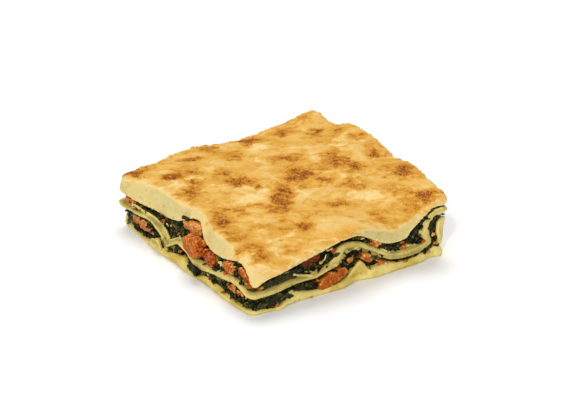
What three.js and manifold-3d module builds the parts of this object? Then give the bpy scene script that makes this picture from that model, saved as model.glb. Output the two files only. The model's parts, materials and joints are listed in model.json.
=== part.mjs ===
// A square portion of baked lasagna: two lower pasta layers, two spinach fillings
// with salmon, and a thick browned top. Millimetres, +Z up, resting on z = 0.
// The corner F (-x, -y) points at the viewer, L is -x +y, R is +x -y, K is +x +y.
import * as THREE from 'three';
import { mergeVertices } from 'three/addons/utils/BufferGeometryUtils.js';
import Module from 'manifold-3d';

const LENGTH_X = 110;
const LENGTH_Y = 112;
const CORNER_RADIUS = 4;
const LAYER_GAP = 0.3;
const CUT_GAP = 0.32;
const EDGE_ROUND = 0.8;
const REACH = 0.42;
const MIN_THICK = [1.0, 1.3, 2.3, 1.3, 1.9];
const INNER_EXTRA = [0.6, 2.8, 1.2, 2.8, 2.6];
const INNER_RINGS = [1, 0.8, 0.4];
const TOP_RINGS = [1, 0.8, 0.66, 0.52, 0.36, 0.2];
const RING_INSET = 3.4;
const FOLD_STEP = 2.6;
const INNER_SPREAD = 2.2;
const SAFE_SHIFTS = [[0.1, 0.02, -0.12], [-0.12, -0.02, -0.12]];
const CLEAN_EDGE = 0.02;

// Heights of the five layer borders along each side: [distance from the start corner, height].
// Front and back run along +x, left and right along +y.
const BORDERS = [
  {
    front: [[0, 2.8], [7, 2], [13, 1.1], [19, 3], [23, 6.6], [29, 5.2], [36, 2.8], [44, 1.8], [54, 4.4],
      [57.5, 8.6], [61, 11.8], [64.5, 8.4], [67, 4.8], [70, 5.4], [79, 5], [88, 2.6], [96, 4.5],
      [101, 4.4], [104.5, 6.4], [106.5, 9], [107.6, 14], [108.5, 19], [110, 20.6]],
    right: [[0, 20.6], [8, 17], [18, 8], [30, 4], [50, 5.5], [70, 3.5], [90, 5], [112, 5]],
    back: [[0, 4], [25, 3], [50, 6], [75, 3.5], [95, 5], [110, 5]],
    left: [[0, 2.8], [12, 3], [25, 3.9], [34, 5], [41, 3.4], [50, 2.4], [56, 7], [60, 5.8], [69, 3.6],
      [73.5, 2.2], [77, 6], [79, 7.2], [86, 3.4], [94, 1.4], [103, 2], [112, 4]],
  },
  {
    front: [[0, 7.8], [13, 7.8], [25, 9.4], [35, 9.3], [44, 11], [47.3, 12], [50.2, 15.5], [53, 19.2],
      [59, 18.7], [64.5, 15.8], [69.5, 13], [78, 8], [84, 6.7], [95, 5.6], [101, 6.8], [103.5, 9.5],
      [104.6, 14], [105.3, 19], [106, 21.8], [107.5, 23.2], [110, 22.8]],
    right: [[0, 22.8], [8, 20.5], [18, 14], [30, 9.5], [50, 13], [70, 9], [92, 12.5], [112, 13]],
    back: [[0, 10.2], [20, 12], [45, 9], [70, 15], [90, 11], [110, 13]],
    left: [[0, 7.8], [9, 10], [15, 10.4], [22, 8.9], [35, 6.9], [42, 4.9], [49, 4.8], [57, 8.6], [63, 9.4],
      [70, 6], [74.5, 3.6], [77, 4.9], [80, 8], [83, 10.4], [87, 11.8], [101, 10.6], [112, 10.2]],
  },
  {
    front: [[0, 11.3], [17, 11.5], [21, 13.2], [25, 12.4], [35, 11.6], [40, 12.4], [43.8, 14.6],
      [46.5, 18.6], [50, 21.9], [54, 22.9], [59, 22.2], [64.5, 19.6], [69.5, 16.4], [78, 10.9],
      [84, 9.5], [95, 9.3], [99, 10.3], [101, 12.4], [101.8, 15.5], [102.3, 19.5], [103, 23.2],
      [104.5, 25.2], [107, 26.2], [110, 26]],
    right: [[0, 26], [8, 24.5], [18, 18], [30, 13], [50, 16.5], [70, 12.5], [92, 16], [112, 16.5]],
    back: [[0, 13.3], [20, 15.2], [45, 12.2], [70, 18.2], [90, 14.2], [110, 16.5]],
    left: [[0, 11.3], [4, 11.6], [7.5, 13.8], [13, 13.8], [20, 13.3], [25, 12], [33, 10.1], [42, 9.7],
      [50, 8.9], [57, 11.8], [63.5, 12.3], [71, 7.6], [74.8, 6], [77, 8.2], [79.5, 11.3], [84.5, 13.9],
      [88, 14.5], [99, 12.9], [112, 13.3]],
  },
  {
    front: [[0, 15.2], [7, 16.2], [20, 18.3], [28, 20.2], [40, 22.6], [52, 24.8], [60, 24.3], [64, 22.4],
      [72, 17.6], [78, 15], [82, 14.4], [87, 14.9], [94, 17.7], [97.4, 21.1], [100, 24.9], [104.7, 27.6],
      [110, 27.8]],
    right: [[0, 27.8], [15, 26], [30, 23], [50, 24.5], [70, 22], [90, 23.5], [112, 23]],
    back: [[0, 18], [25, 20.5], [50, 17.5], [75, 22.3], [95, 20.5], [110, 23]],
    left: [[0, 15.2], [3, 16.4], [7, 18.8], [12, 20.8], [16, 20.6], [22, 18], [34, 15.4], [42, 16.2],
      [46.5, 19], [50, 22.3], [54, 24], [60, 23.6], [64, 20.4], [73, 17.2], [82, 16], [98, 16.4],
      [112, 18]],
  },
  {
    front: [[0, 17.4], [15, 19.4], [30, 22.6], [43, 25], [54, 27], [62, 27.4], [69, 25.6], [77, 22.4],
      [84, 21], [89, 22.4], [95, 25], [102, 28.2], [107, 30], [110, 30.4]],
    right: [[0, 30.4], [12, 31], [30, 32], [50, 31.4], [57, 31], [66, 32], [85, 32.2], [97, 31],
      [105, 29.8], [112, 29.6]],
    back: [[0, 25], [10, 26.4], [25, 27], [50, 26.8], [75, 28.4], [95, 29.2], [110, 29.6]],
    left: [[0, 17.4], [8, 20.4], [16, 22.8], [24, 23.6], [34, 24.2], [46, 25.4], [56, 26.6], [64, 27.6],
      [84, 27.2], [98, 26.2], [112, 25]],
  },
];

// Middle level of each border away from the sides: level at F, rise across x, rise across y.
const PLANES = [[4.2, 1, 0.6], [9.6, 2.6, 1.6], [12.9, 2.8, 1.6], [18.2, 4.2, 2.4], [24, 6, 3.2]];

// Outline of each layer against the nominal square: [distance, overhang] at its lower and upper edge.
const OUTLINES = [
  {
    name: 'base_sheet',
    material: 'pasta',
    low: {
      front: [[0, 0.3], [20, 0], [60, 0.4], [85, -0.2], [110, 0]],
      right: [[0, 0], [30, 2], [60, 3.4], [90, 2], [112, 0.5]],
      back: [[0, 0.3], [30, 1.4], [70, 2], [110, 0.5]],
      left: [[0, 0.3], [20, 1.8], [45, 3.2], [75, 3.4], [95, 2], [112, 0.3]],
    },
    high: {
      front: [[0, 0.3], [30, -0.4], [58, 0.8], [85, 0.2], [104, 1], [110, 3]],
      right: [[0, 3], [15, 2.6], [40, 2.4], [80, 3], [112, 1]],
      back: [[0, 1], [50, 1.6], [110, 1]],
      left: [[0, 0.4], [20, 2], [45, 3.2], [75, 3.2], [95, 2.2], [112, 1]],
    },
  },
  {
    name: 'lower_filling',
    material: 'spinach',
    low: {
      front: [[0, -0.4], [20, -0.7], [60, -1.2], [95, -0.8], [110, 1.2]],
      right: [[0, 1.2], [30, 1], [80, 2], [112, 0]],
      back: [[0, 1.2], [30, 0], [80, 0.4], [110, 0]],
      left: [[0, -0.4], [30, 0.2], [80, 0], [112, 1.2]],
    },
    high: {
      front: [[0, -0.4], [20, -0.7], [60, -1.4], [95, -0.8], [110, 1.2]],
      right: [[0, 1.2], [30, 1.6], [80, 2.6], [112, 0.4]],
      back: [[0, 1.6], [30, 0.4], [80, 0.6], [110, 0.4]],
      left: [[0, -0.4], [30, 0], [80, 0], [112, 1.6]],
    },
  },
  {
    name: 'middle_sheet',
    material: 'pasta',
    low: {
      front: [[0, 0.8], [30, 0.5], [60, 0.6], [100, 0.5], [110, 2.6]],
      right: [[0, 2.6], [30, 3.4], [80, 4.6], [112, 1.4]],
      back: [[0, 3], [40, 1], [80, 1.6], [110, 1.4]],
      left: [[0, 0.8], [20, 0.5], [60, 0.4], [90, 1.4], [112, 3]],
    },
    high: {
      front: [[0, 0.8], [30, 0.5], [60, 0.6], [100, 0.5], [110, 2.8]],
      right: [[0, 2.8], [30, 4], [80, 5.4], [112, 1.8]],
      back: [[0, 3.2], [40, 1.2], [80, 1.8], [110, 1.8]],
      left: [[0, 0.8], [20, 0.4], [60, 0.2], [90, 1.4], [112, 3.2]],
    },
  },
  {
    name: 'upper_filling',
    material: 'spinach',
    low: {
      front: [[0, -0.9], [12, -1.6], [50, -2], [65, -1], [100, -0.8], [110, 1.4]],
      right: [[0, 1.4], [30, 2.6], [80, 4], [112, 1]],
      back: [[0, 1.8], [40, 0], [80, 0.4], [110, 1]],
      left: [[0, -0.9], [20, -1], [45, -1.4], [58, -1.6], [68, -1], [90, -0.4], [112, 1.8]],
    },
    high: {
      front: [[0, -1.4], [12, -2], [50, -2.4], [65, -1], [100, -0.8], [110, 1.4]],
      right: [[0, 1.4], [30, 4.4], [80, 6], [112, 2]],
      back: [[0, 1.8], [40, 0.6], [80, 0.8], [110, 2]],
      left: [[0, -1.5], [12, -3.8], [30, -3.8], [45, -5], [56, -8.4], [63, -7], [70, -4], [90, -2.4],
        [112, 1.6]],
    },
  },
  {
    name: 'top_sheet',
    material: 'gratin',
    low: {
      front: [[0, 1], [20, 1.1], [50, 0.9], [62, 0.4], [80, 0.7], [100, 0.8], [110, 2.8]],
      right: [[0, 3], [15, 4.6], [31, 7], [50, 6.2], [73, 8.6], [90, 8.4], [100, 4.4], [112, 5]],
      back: [[0, 3.4], [25, 4.6], [42, 5.6], [68, 1.6], [90, 3], [110, 5]],
      left: [[0, -1.3], [12, -3], [25, -2.8], [45, -3.6], [56, -7.6], [63, -6.2], [70, -3.2],
        [85, -2.6], [98, 0], [112, 2.6]],
    },
    high: {
      front: [[0, -0.2], [20, -0.6], [50, -0.8], [80, -1.4], [100, -1.2], [110, 2]],
      right: [[0, 3], [8, 4.4], [15, 5], [31, 8], [43, 8.6], [50, 6], [56, 8.4], [73, 10.4], [84, 11],
        [92, 10.4], [97, 5.6], [106, 4.4], [112, 6.4]],
      back: [[0, 3], [10, 5.6], [19, 3.6], [31, 7.2], [43, 8], [53, 5], [69, 1.4], [88, 3], [104, 5.8],
        [110, 6.4]],
      left: [[0, -1.7], [12, -4.4], [25, -6], [45, -7], [55, -9.4], [62, -9], [70, -6.6], [90, -6],
        [102, -3.6], [112, -0.6]],
    },
  },
];

// Salmon pieces: side, distance, height, half length, half depth, half height, tilt, overhang of centre.
const SALMON = [
  ['salmon_left_low_far', 'left', 96.5, 6.9, 13.5, 4.6, 2.6, 1, -2.4],
  ['salmon_left_notch', 'left', 58, 18.6, 8, 3.2, 3.2, -12, -7.2],
  ['salmon_left_large', 'left', 49, 15.6, 8.6, 3.4, 4.2, -4, -0.6],
  ['salmon_left_dark', 'left', 36.4, 12.9, 4.4, 3.6, 2.4, 14, -3],
  ['salmon_left_mid', 'left', 20.4, 15.4, 4.8, 3.4, 2, -4, -3.2],
  ['salmon_left_corner', 'left', 7.6, 16, 6.2, 3.4, 2.5, 13, -4.2],
  ['salmon_left_low_near', 'left', 13.6, 7.3, 7.6, 3.8, 2.1, -3, -2.8],
  ['salmon_left_end', 'left', 106.6, 15.2, 3.8, 3, 1.5, 4, -0.8],
  ['salmon_front_shade', 'front', 35, 17.6, 7.2, 3.8, 2.8, 8, -5.2],
  ['salmon_front_large', 'front', 46.6, 6.8, 9, 4.6, 3.4, 13, -2.2],
  ['salmon_front_fold', 'front', 66, 11.2, 4.8, 3.2, 1.9, -32, -2.4],
  ['salmon_front_flat', 'front', 75, 7.5, 4.6, 3, 1.3, -14, -2.6],
  ['salmon_front_upper', 'front', 70.4, 17.5, 3.9, 2.8, 1.4, -28, -2.6],
  ['salmon_front_small', 'front', 87, 11.9, 3, 2.6, 1.5, -4, -2.4],
  ['salmon_right_low_near', 'right', 38, 7.6, 7.6, 4, 2.3, 4, -1.4],
  ['salmon_right_low_far', 'right', 76, 7.2, 6, 4, 2, -4, -0.2],
  ['salmon_right_upper', 'right', 58, 18.6, 7, 4, 2.6, -8, 0.8],
  ['salmon_back_low_near', 'back', 22, 7.6, 7, 4, 2.4, -3, -2.4],
  ['salmon_back_low_mid', 'back', 62, 9.2, 6.2, 4, 2.6, 10, -2],
  ['salmon_back_upper_far', 'back', 82, 18.8, 6.4, 3.8, 2, -12, -1.6],
];

// Spinach leaves: side, distance, height, half length, half height, tilt, overhang, curl.
const LEAVES = [
  ['leaf_front_upper', 'front', 17.5, 15, 11, 2.2, 8, -0.4, 0.5],
  ['leaf_front_lower', 'front', 11, 5.2, 9.5, 2.1, 5, 0.9, 0.5],
  ['leaf_front_middle', 'front', 31, 7.4, 6.5, 1.6, 4, 0.4, 0.6],
  ['leaf_front_crest', 'front', 44, 17.5, 2.4, 3, -32, -0.9, 0.5],
  ['leaf_left_tuft', 'left', 46, 4.9, 4.6, 2, 6, 4.1, 0.5],
  ['leaf_right_upper', 'right', 34, 18.5, 7, 2.2, -10, 4.4, 0.5],
  ['leaf_back_lower', 'back', 42, 6.8, 7, 1.8, 6, 1.5, 0.5],
];

// The folded middle sheet leans over near the corner R.
const LEAN = { shift: -5, level: 17, half: 9, start: 85, full: 97, fade: 104, end: 112.5, depth: 26 };

const STATIONS = {
  front: [4, 8, 12, 16, 20, 24, 28, 32, 36, 40, 43, 45.5, 47.5, 49, 50.5, 52, 54, 56, 58, 60, 62, 64, 66,
    69, 72, 76, 80, 84, 88, 91, 94, 96.5, 98.5, 100, 101, 101.8, 102.6, 103.4, 104.4, 105.2, 106],
  right: [4, 9, 15, 22, 30, 39, 48, 57, 66, 75, 84, 92, 98, 108],
  back: [4, 11, 19, 27, 35, 43, 51, 60, 68, 77, 86, 96, 106],
  left: [4, 8, 12, 16, 20, 24, 28, 32, 36, 40, 43, 46, 49, 52, 55, 58, 61, 64, 66.5, 69, 71.5, 73.5, 75.5,
    77.5, 79.5, 82, 85, 88, 92, 96, 100, 104, 108],
};

const COLORS = {
  pasta: new THREE.MeshStandardMaterial({ color: '#ddc98d', roughness: 0.55, metalness: 0 }),
  gratin: new THREE.MeshStandardMaterial({ color: '#e3ae5a', roughness: 0.6, metalness: 0 }),
  spinach: new THREE.MeshStandardMaterial({ color: '#333a20', roughness: 0.5, metalness: 0 }),
  leaf: new THREE.MeshStandardMaterial({ color: '#232c1b', roughness: 0.45, metalness: 0 }),
  salmon: new THREE.MeshStandardMaterial({ color: '#cc7a45', roughness: 0.5, metalness: 0 }),
};

const clamp = (value, low, high) => Math.min(high, Math.max(low, value));

function smooth(value) {
  const t = clamp(value, 0, 1);
  return t * t * (3 - 2 * t);
}

// Repeatable value between -1 and 1 for a number and a seed.
function jitter(index, seed) {
  const wave = Math.sin(index * 12.9898 + seed * 78.233) * 43758.5453;
  return 2 * (wave - Math.floor(wave)) - 1;
}

// Monotone cubic curve through a list of [position, value].
function curve(points, at) {
  const last = points.length - 1;
  if (at <= points[0][0]) return points[0][1];
  if (at >= points[last][0]) return points[last][1];
  let i = 0;
  while (points[i + 1][0] < at) i += 1;
  const slope = (k) => (points[k + 1][1] - points[k][1]) / (points[k + 1][0] - points[k][0]);
  const tangent = (k) => {
    if (k === 0) return slope(0);
    if (k === last) return slope(last - 1);
    const before = slope(k - 1);
    const after = slope(k);
    return before * after <= 0 ? 0 : (2 * before * after) / (before + after);
  };
  const width = points[i + 1][0] - points[i][0];
  const t = (at - points[i][0]) / width;
  const cubic = (2 * t - 3) * t * t;
  const start = (cubic + 1) * points[i][1] + (t - 1) * (t - 1) * t * width * tangent(i);
  return start - cubic * points[i + 1][1] + (t - 1) * t * t * width * tangent(i + 1);
}

const fade = (distance) => (distance < REACH ? (1 - distance / REACH) ** 2 : 0);

// Height of one border at a point, from its four side profiles and its middle plane.
function borderHeight(index, x, y) {
  const u = clamp((x + LENGTH_X / 2) / LENGTH_X, 0, 1);
  const v = clamp((y + LENGTH_Y / 2) / LENGTH_Y, 0, 1);
  const sides = BORDERS[index];
  const [level, riseX, riseY] = PLANES[index];
  const plane = (a, b) => level + riseX * a + riseY * b;
  const front = curve(sides.front, u * LENGTH_X) - plane(u, 0);
  const back = curve(sides.back, u * LENGTH_X) - plane(u, 1);
  const left = curve(sides.left, v * LENGTH_Y) - plane(0, v);
  const right = curve(sides.right, v * LENGTH_Y) - plane(1, v);
  const atF = sides.front[0][1] - plane(0, 0);
  const atR = sides.right[0][1] - plane(1, 0);
  const atL = sides.back[0][1] - plane(0, 1);
  const atK = sides.back[sides.back.length - 1][1] - plane(1, 1);
  const near = fade(v);
  const far = fade(1 - v);
  const west = fade(u);
  const east = fade(1 - u);
  let height = plane(u, v) + near * front + far * back + west * left + east * right;
  height -= near * west * atF + near * east * atR + far * west * atL + far * east * atK;
  return height;
}

// Broad folds and dents of the baked top.
function topRelief(x, y) {
  const inset = Math.min(LENGTH_X / 2 - Math.abs(x), LENGTH_Y / 2 - Math.abs(y));
  const weight = smooth(inset / 14);
  const fold = (ax, ay, bx, by, width, height) => {
    const length = Math.hypot(bx - ax, by - ay);
    const t = clamp(((x - ax) * (bx - ax) + (y - ay) * (by - ay)) / length ** 2, 0, 1);
    const away = Math.hypot(x - ax - t * (bx - ax), y - ay - t * (by - ay));
    return height * Math.exp(-((away / width) ** 2));
  };
  let relief = fold(-30, 14, -12, 46, 6, 0.8) + fold(0, 20, 20, 44, 7, 0.7) + fold(22, -20, 48, 6, 6, 0.8);
  relief -= fold(4, -2, 30, -14, 5, 0.9) + fold(-20, -20, 4, -34, 7, 0.5);
  relief += 0.35 * Math.sin(x / 6.5 + 1.3) * Math.sin(y / 7.5 + 0.4);
  return weight * relief;
}

// All border heights at a point, kept in order from the table up.
function borderStack(x, y) {
  const heights = [0];
  const inset = Math.min(LENGTH_X / 2 - Math.abs(x), LENGTH_Y / 2 - Math.abs(y));
  const inside = smooth(inset / 11);
  MIN_THICK.forEach((thick, k) => {
    const relief = k === 4 ? topRelief(x, y) : 0;
    const least = thick + inside * INNER_EXTRA[k];
    heights.push(Math.max(borderHeight(k, x, y) + relief, heights[k] + least));
  });
  return heights;
}

// Point on a border, moved half the layer gap, times a spread, along the border's normal.
function borderPoint(border, side, x, y, spread) {
  const z = borderStack(x, y)[border];
  if (border === 0 || border === BORDERS.length) return [x, y, z];
  const step = 0.3;
  const dx = (borderStack(x + step, y)[border] - borderStack(x - step, y)[border]) / (2 * step);
  const dy = (borderStack(x, y + step)[border] - borderStack(x, y - step)[border]) / (2 * step);
  const steepness = Math.sqrt(1 + dx * dx + dy * dy);
  const half = 0.5 * side * spread * LAYER_GAP;
  const lift = 0.9 * half * (1 - 1 / steepness);
  return [x - (dx * half) / steepness, y - (dy * half) / steepness, z + half / steepness + lift];
}

// Stations around the nominal outline, counter-clockwise from F.
function buildStations() {
  const halfX = LENGTH_X / 2;
  const halfY = LENGTH_Y / 2;
  const stations = [];
  const room = (at) => clamp((Math.min(at, LENGTH_X - at) - 1) / 6, 0.6, 1);
  const place = {
    front: (at) => ({ x: at - halfX, y: -halfY, nx: 0, ny: -1, side: 'front', at, room: room(at) }),
    right: (at) => ({ x: halfX, y: at - halfY, nx: 1, ny: 0, side: 'right', at, room: room(at) }),
    back: (at) => ({ x: at - halfX, y: halfY, nx: 0, ny: 1, side: 'back', at, room: room(at) }),
    left: (at) => ({ x: -halfX, y: at - halfY, nx: -1, ny: 0, side: 'left', at, room: room(at) }),
  };
  const corner = (sx, sy, startAngle, count, sides) => {
    for (let i = 1; i <= count; i += 1) {
      const angle = startAngle + (i / (count + 1)) * (Math.PI / 2);
      const cx = sx * (halfX - CORNER_RADIUS);
      const cy = sy * (halfY - CORNER_RADIUS);
      stations.push({
        x: cx + CORNER_RADIUS * Math.cos(angle),
        y: cy + CORNER_RADIUS * Math.sin(angle),
        nx: Math.cos(angle),
        ny: Math.sin(angle),
        corner: sides,
        share: i / (count + 1),
        room: 0.6,
      });
    }
  };
  STATIONS.front.forEach((at) => stations.push(place.front(at)));
  corner(1, -1, -Math.PI / 2, 5, [['front', 110], ['right', 0]]);
  STATIONS.right.forEach((at) => stations.push(place.right(at)));
  corner(1, 1, 0, 3, [['right', 112], ['back', 110]]);
  [...STATIONS.back].reverse().forEach((at) => stations.push(place.back(at)));
  corner(-1, 1, Math.PI / 2, 3, [['back', 0], ['left', 112]]);
  [...STATIONS.left].reverse().forEach((at) => stations.push(place.left(at)));
  corner(-1, -1, Math.PI, 3, [['left', 0], ['front', 0]]);
  stations.forEach((station) => {
    const toF = Math.hypot(station.x + halfX, station.y + halfY);
    const toL = Math.hypot(station.x + halfX, station.y - halfY);
    const turn = 1 - smooth((Math.min(toF, toL) - 4) / 12);
    const middle = Math.hypot(station.x, station.y);
    const ix = -station.nx * (1 - turn) - (station.x / middle) * turn;
    const iy = -station.ny * (1 - turn) - (station.y / middle) * turn;
    station.inward = [ix / Math.hypot(ix, iy), iy / Math.hypot(ix, iy)];
    if (turn > 0) station.room = 1;
  });
  return stations;
}

const STATION_LIST = buildStations();

// Overhang of an outline edge at a station.
function overhang(edge, station) {
  if (!station.corner) return curve(edge[station.side], station.at);
  const [[sideA, atA], [sideB, atB]] = station.corner;
  const a = curve(edge[sideA], atA);
  const b = curve(edge[sideB], atB);
  return a + (b - a) * smooth(station.share);
}

// Leans points near the corner R so the middle sheet folds over itself.
function lean([x, y, z]) {
  const at = x + LENGTH_X / 2;
  const inward = y + LENGTH_Y / 2;
  const q = (z - LEAN.level) / LEAN.half;
  if (Math.abs(q) >= 1) return [x, y, z];
  const across = smooth((at - LEAN.start) / (LEAN.full - LEAN.start));
  const off = 1 - smooth((at - LEAN.fade) / (LEAN.end - LEAN.fade));
  const deep = 1 - smooth(inward / LEAN.depth);
  return [x + LEAN.shift * (1 - q * q) ** 2 * across * off * deep, y, z];
}

// Joins two closed rings of vertex indices that share station numbers.
function zipRings(faces, outer, inner, up) {
  const total = STATION_LIST.length;
  const push = (a, b, c) => faces.push(up ? [a, b, c] : [a, c, b]);
  let i = 0;
  let j = 0;
  while (i < outer.length || j < inner.length) {
    const a = outer[i % outer.length];
    const b = inner[j % inner.length];
    const nextOuter = i + 1 < outer.length ? outer[i + 1].at : total + outer[0].at;
    const nextInner = j + 1 < inner.length ? inner[j + 1].at : total + inner[0].at;
    if (j >= inner.length || (i < outer.length && nextOuter <= nextInner)) {
      push(a.id, outer[(i + 1) % outer.length].id, b.id);
      i += 1;
    } else {
      push(a.id, inner[(j + 1) % inner.length].id, b.id);
      j += 1;
    }
  }
}

// Joins two neighbouring upright lines of a wall, seen from outside.
function zipLines(faces, left, right) {
  let i = 0;
  let j = 0;
  while (i < left.length - 1 || j < right.length - 1) {
    const leftOpen = i < left.length - 1;
    const rightDone = j >= right.length - 1;
    if (leftOpen && (rightDone || left[i + 1].share <= right[j + 1].share)) {
      faces.push([left[i].id, right[j].id, left[i + 1].id]);
      i += 1;
    } else {
      faces.push([left[i].id, right[j].id, right[j + 1].id]);
      j += 1;
    }
  }
}

// One closed layer between border `index` and border `index + 1`.
function layerGeometry(index) {
  const outline = OUTLINES[index];
  const below = OUTLINES[index - 1];
  const above = OUTLINES[index + 1];
  const rough = index === 1 || index === 3 ? 0.75 : 0.18;
  const points = [];
  const faces = [];
  const add = (point) => {
    points.push(lean(point));
    return points.length - 1;
  };
  const edgePoint = (border, x, y, spread) => borderPoint(border, border === index ? 1 : -1, x, y, spread);
  const rows = [[], [], [], []];
  STATION_LIST.forEach((station, at) => {
    const { x, y, nx, ny } = station;
    const uneven = station.corner ? 0.25 * rough : rough;
    const low = overhang(outline.low, station) + uneven * jitter(at, index + 1);
    const high = overhang(outline.high, station) + uneven * jitter(at, index + 9);
    const bottom = edgePoint(index, x + nx * low, y + ny * low, 1);
    const top = edgePoint(index + 1, x + nx * high, y + ny * high, 1);
    const round = Math.min(EDGE_ROUND, (top[2] - bottom[2]) / 3);
    const level = (point, out, rise) => {
      const spot = [point[0] + nx * out, point[1] + ny * out, point[2] + rise];
      return { at, spot, id: add(spot) };
    };
    rows[0].push(level(bottom, -round, 0));
    rows[1].push(level(bottom, 0, round));
    rows[2].push(level(top, 0, -round));
    rows[3].push(level(top, -round, 0));
  });
  zipRings(faces, rows[0], rows[1], true);
  const walls = rows[1].map((low, i) => {
    const high = rows[2][i];
    const station = STATION_LIST[i];
    const atFold = station.side === 'front' && station.at > 92;
    const folded = station.corner ? station.corner[0][0] === 'front' : atFold;
    const steps = folded ? Math.max(1, Math.round((high.spot[2] - low.spot[2]) / FOLD_STEP)) : 1;
    const line = [{ share: 0, id: low.id }];
    for (let k = 1; k < steps; k += 1) {
      const share = k / steps;
      const spot = low.spot.map((value, c) => value + share * (high.spot[c] - value));
      line.push({ share, id: add(spot) });
    }
    line.push({ share: 1, id: high.id });
    return line;
  });
  walls.forEach((line, i) => zipLines(faces, line, walls[(i + 1) % walls.length]));
  zipRings(faces, rows[2], rows[3], true);
  const cover = (border, rim, ownEdge, otherEdge, up) => {
    const ringList = border === 5 ? TOP_RINGS : INNER_RINGS;
    let previous = rim;
    ringList.forEach((t, r) => {
      const fine = border === 5 ? [1, 2, 2, 2, 4, 8][r] : [1, 4, 8][r];
      const ring = [];
      STATION_LIST.forEach((station, at) => {
        if (at % fine !== 0) return;
        const own = overhang(ownEdge, station);
        const other = otherEdge ? overhang(otherEdge, station) : own;
        const inset = t === 1 ? RING_INSET * station.room : 0;
        const out = Math.min(own, other) * t ** 4;
        const x = station.x * t + station.nx * out + station.inward[0] * inset;
        const y = station.y * t + station.ny * out + station.inward[1] * inset;
        ring.push({ at, id: add(edgePoint(border, x, y, INNER_SPREAD)) });
      });
      zipRings(faces, previous, ring, up);
      previous = ring;
    });
    const middle = add(edgePoint(border, 0, 0, INNER_SPREAD));
    previous.forEach((vertex, i) => {
      const next = previous[(i + 1) % previous.length];
      faces.push(up ? [vertex.id, next.id, middle] : [next.id, vertex.id, middle]);
    });
  };
  cover(index, rows[0], outline.low, below ? below.high : null, false);
  cover(index + 1, rows[3], outline.high, above ? above.low : null, true);
  return geometryFrom(points, faces);
}

function geometryFrom(points, faces) {
  const geometry = new THREE.BufferGeometry();
  geometry.setAttribute('position', new THREE.Float32BufferAttribute(points.flat(), 3));
  geometry.setIndex(faces.flat());
  return geometry;
}

// Frame of a piece on one side: centre, and directions along, outward and up with a tilt.
function sideFrame(side, at, height, out, tiltDegrees) {
  const halfX = LENGTH_X / 2;
  const halfY = LENGTH_Y / 2;
  const frames = {
    front: [[at - halfX, -halfY - out], [1, 0], [0, -1]],
    right: [[halfX + out, at - halfY], [0, 1], [1, 0]],
    back: [[at - halfX, halfY + out], [1, 0], [0, 1]],
    left: [[-halfX - out, at - halfY], [0, 1], [-1, 0]],
  };
  const [spot, along, outward] = frames[side];
  const tilt = THREE.MathUtils.degToRad(tiltDegrees);
  return {
    centre: new THREE.Vector3(spot[0], spot[1], height),
    along: new THREE.Vector3(along[0] * Math.cos(tilt), along[1] * Math.cos(tilt), Math.sin(tilt)),
    outward: new THREE.Vector3(outward[0], outward[1], 0),
    up: new THREE.Vector3(-along[0] * Math.sin(tilt), -along[1] * Math.sin(tilt), Math.cos(tilt)),
  };
}

// A blunt, uneven lump of cooked fish. `grow` enlarges it for cutting its pocket.
function salmonGeometry(entry, seed, grow) {
  const [, side, at, height, halfLength, halfDepth, halfHeight, tilt, out] = entry;
  const frame = sideFrame(side, at, height, out, tilt);
  const ball = new THREE.IcosahedronGeometry(1, 1);
  ball.deleteAttribute('normal');
  ball.deleteAttribute('uv');
  const merged = mergeVertices(ball, 1e-4);
  const position = merged.getAttribute('position');
  const blunt = (value) => Math.sign(value) * Math.abs(value) ** 0.72;
  for (let i = 0; i < position.count; i += 1) {
    const rough = 1 + 0.11 * jitter(i, seed + 3);
    const a = blunt(position.getX(i)) * 0.86 * (halfLength * rough + grow);
    const b = blunt(position.getY(i)) * 0.86 * (halfDepth * rough + grow);
    const c = blunt(position.getZ(i)) * 0.86 * (halfHeight * rough + grow);
    const spot = frame.centre.clone().addScaledVector(frame.along, a);
    spot.addScaledVector(frame.outward, b).addScaledVector(frame.up, c);
    position.setXYZ(i, spot.x, spot.y, spot.z);
  }
  return outwardFacing(merged);
}

// A thin wavy leaf lying against the side; both faces are split alike.
function leafGeometry(entry, seed, grow) {
  const [, side, at, height, halfLength, halfHeight, tilt, out, curl] = entry;
  const frame = sideFrame(side, at, height, out, tilt);
  const across = 5;
  const tall = 2;
  const half = 0.32 + grow;
  const points = [];
  const faces = [];
  for (const face of [1, -1]) {
    for (let j = 0; j <= tall; j += 1) {
      for (let i = 0; i <= across; i += 1) {
        const s = (2 * i) / across - 1;
        const t = (2 * j) / tall - 1;
        const taper = Math.sqrt(1 - 0.72 * s * s);
        const wave = curl * (Math.sin(3.1 * s + seed) + 0.6 * Math.cos(2.6 * t + 1.7 * seed));
        const a = s * (halfLength + grow) + 0.3 * jitter(i + 11 * j, seed);
        const c = t * (halfHeight * taper + grow) + 0.25 * jitter(i + 17 * j, seed + 5);
        const spot = frame.centre.clone().addScaledVector(frame.along, a);
        spot.addScaledVector(frame.up, c).addScaledVector(frame.outward, wave + face * half);
        points.push([spot.x, spot.y, spot.z]);
      }
    }
  }
  const row = across + 1;
  const back = row * (tall + 1);
  for (let j = 0; j < tall; j += 1) {
    for (let i = 0; i < across; i += 1) {
      const p = j * row + i;
      const q = back + p;
      faces.push([p, p + 1, p + row + 1], [p, p + row + 1, p + row]);
      faces.push([q, q + row + 1, q + 1], [q, q + row, q + row + 1]);
    }
  }
  const rim = [];
  for (let i = 0; i < across; i += 1) rim.push(i);
  for (let j = 0; j < tall; j += 1) rim.push(j * row + across);
  for (let i = across; i > 0; i -= 1) rim.push(tall * row + i);
  for (let j = tall; j > 0; j -= 1) rim.push(j * row);
  rim.forEach((p, i) => {
    const q = rim[(i + 1) % rim.length];
    faces.push([p, back + p, back + q], [p, back + q, q]);
  });
  return outwardFacing(geometryFrom(points, faces));
}

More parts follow.
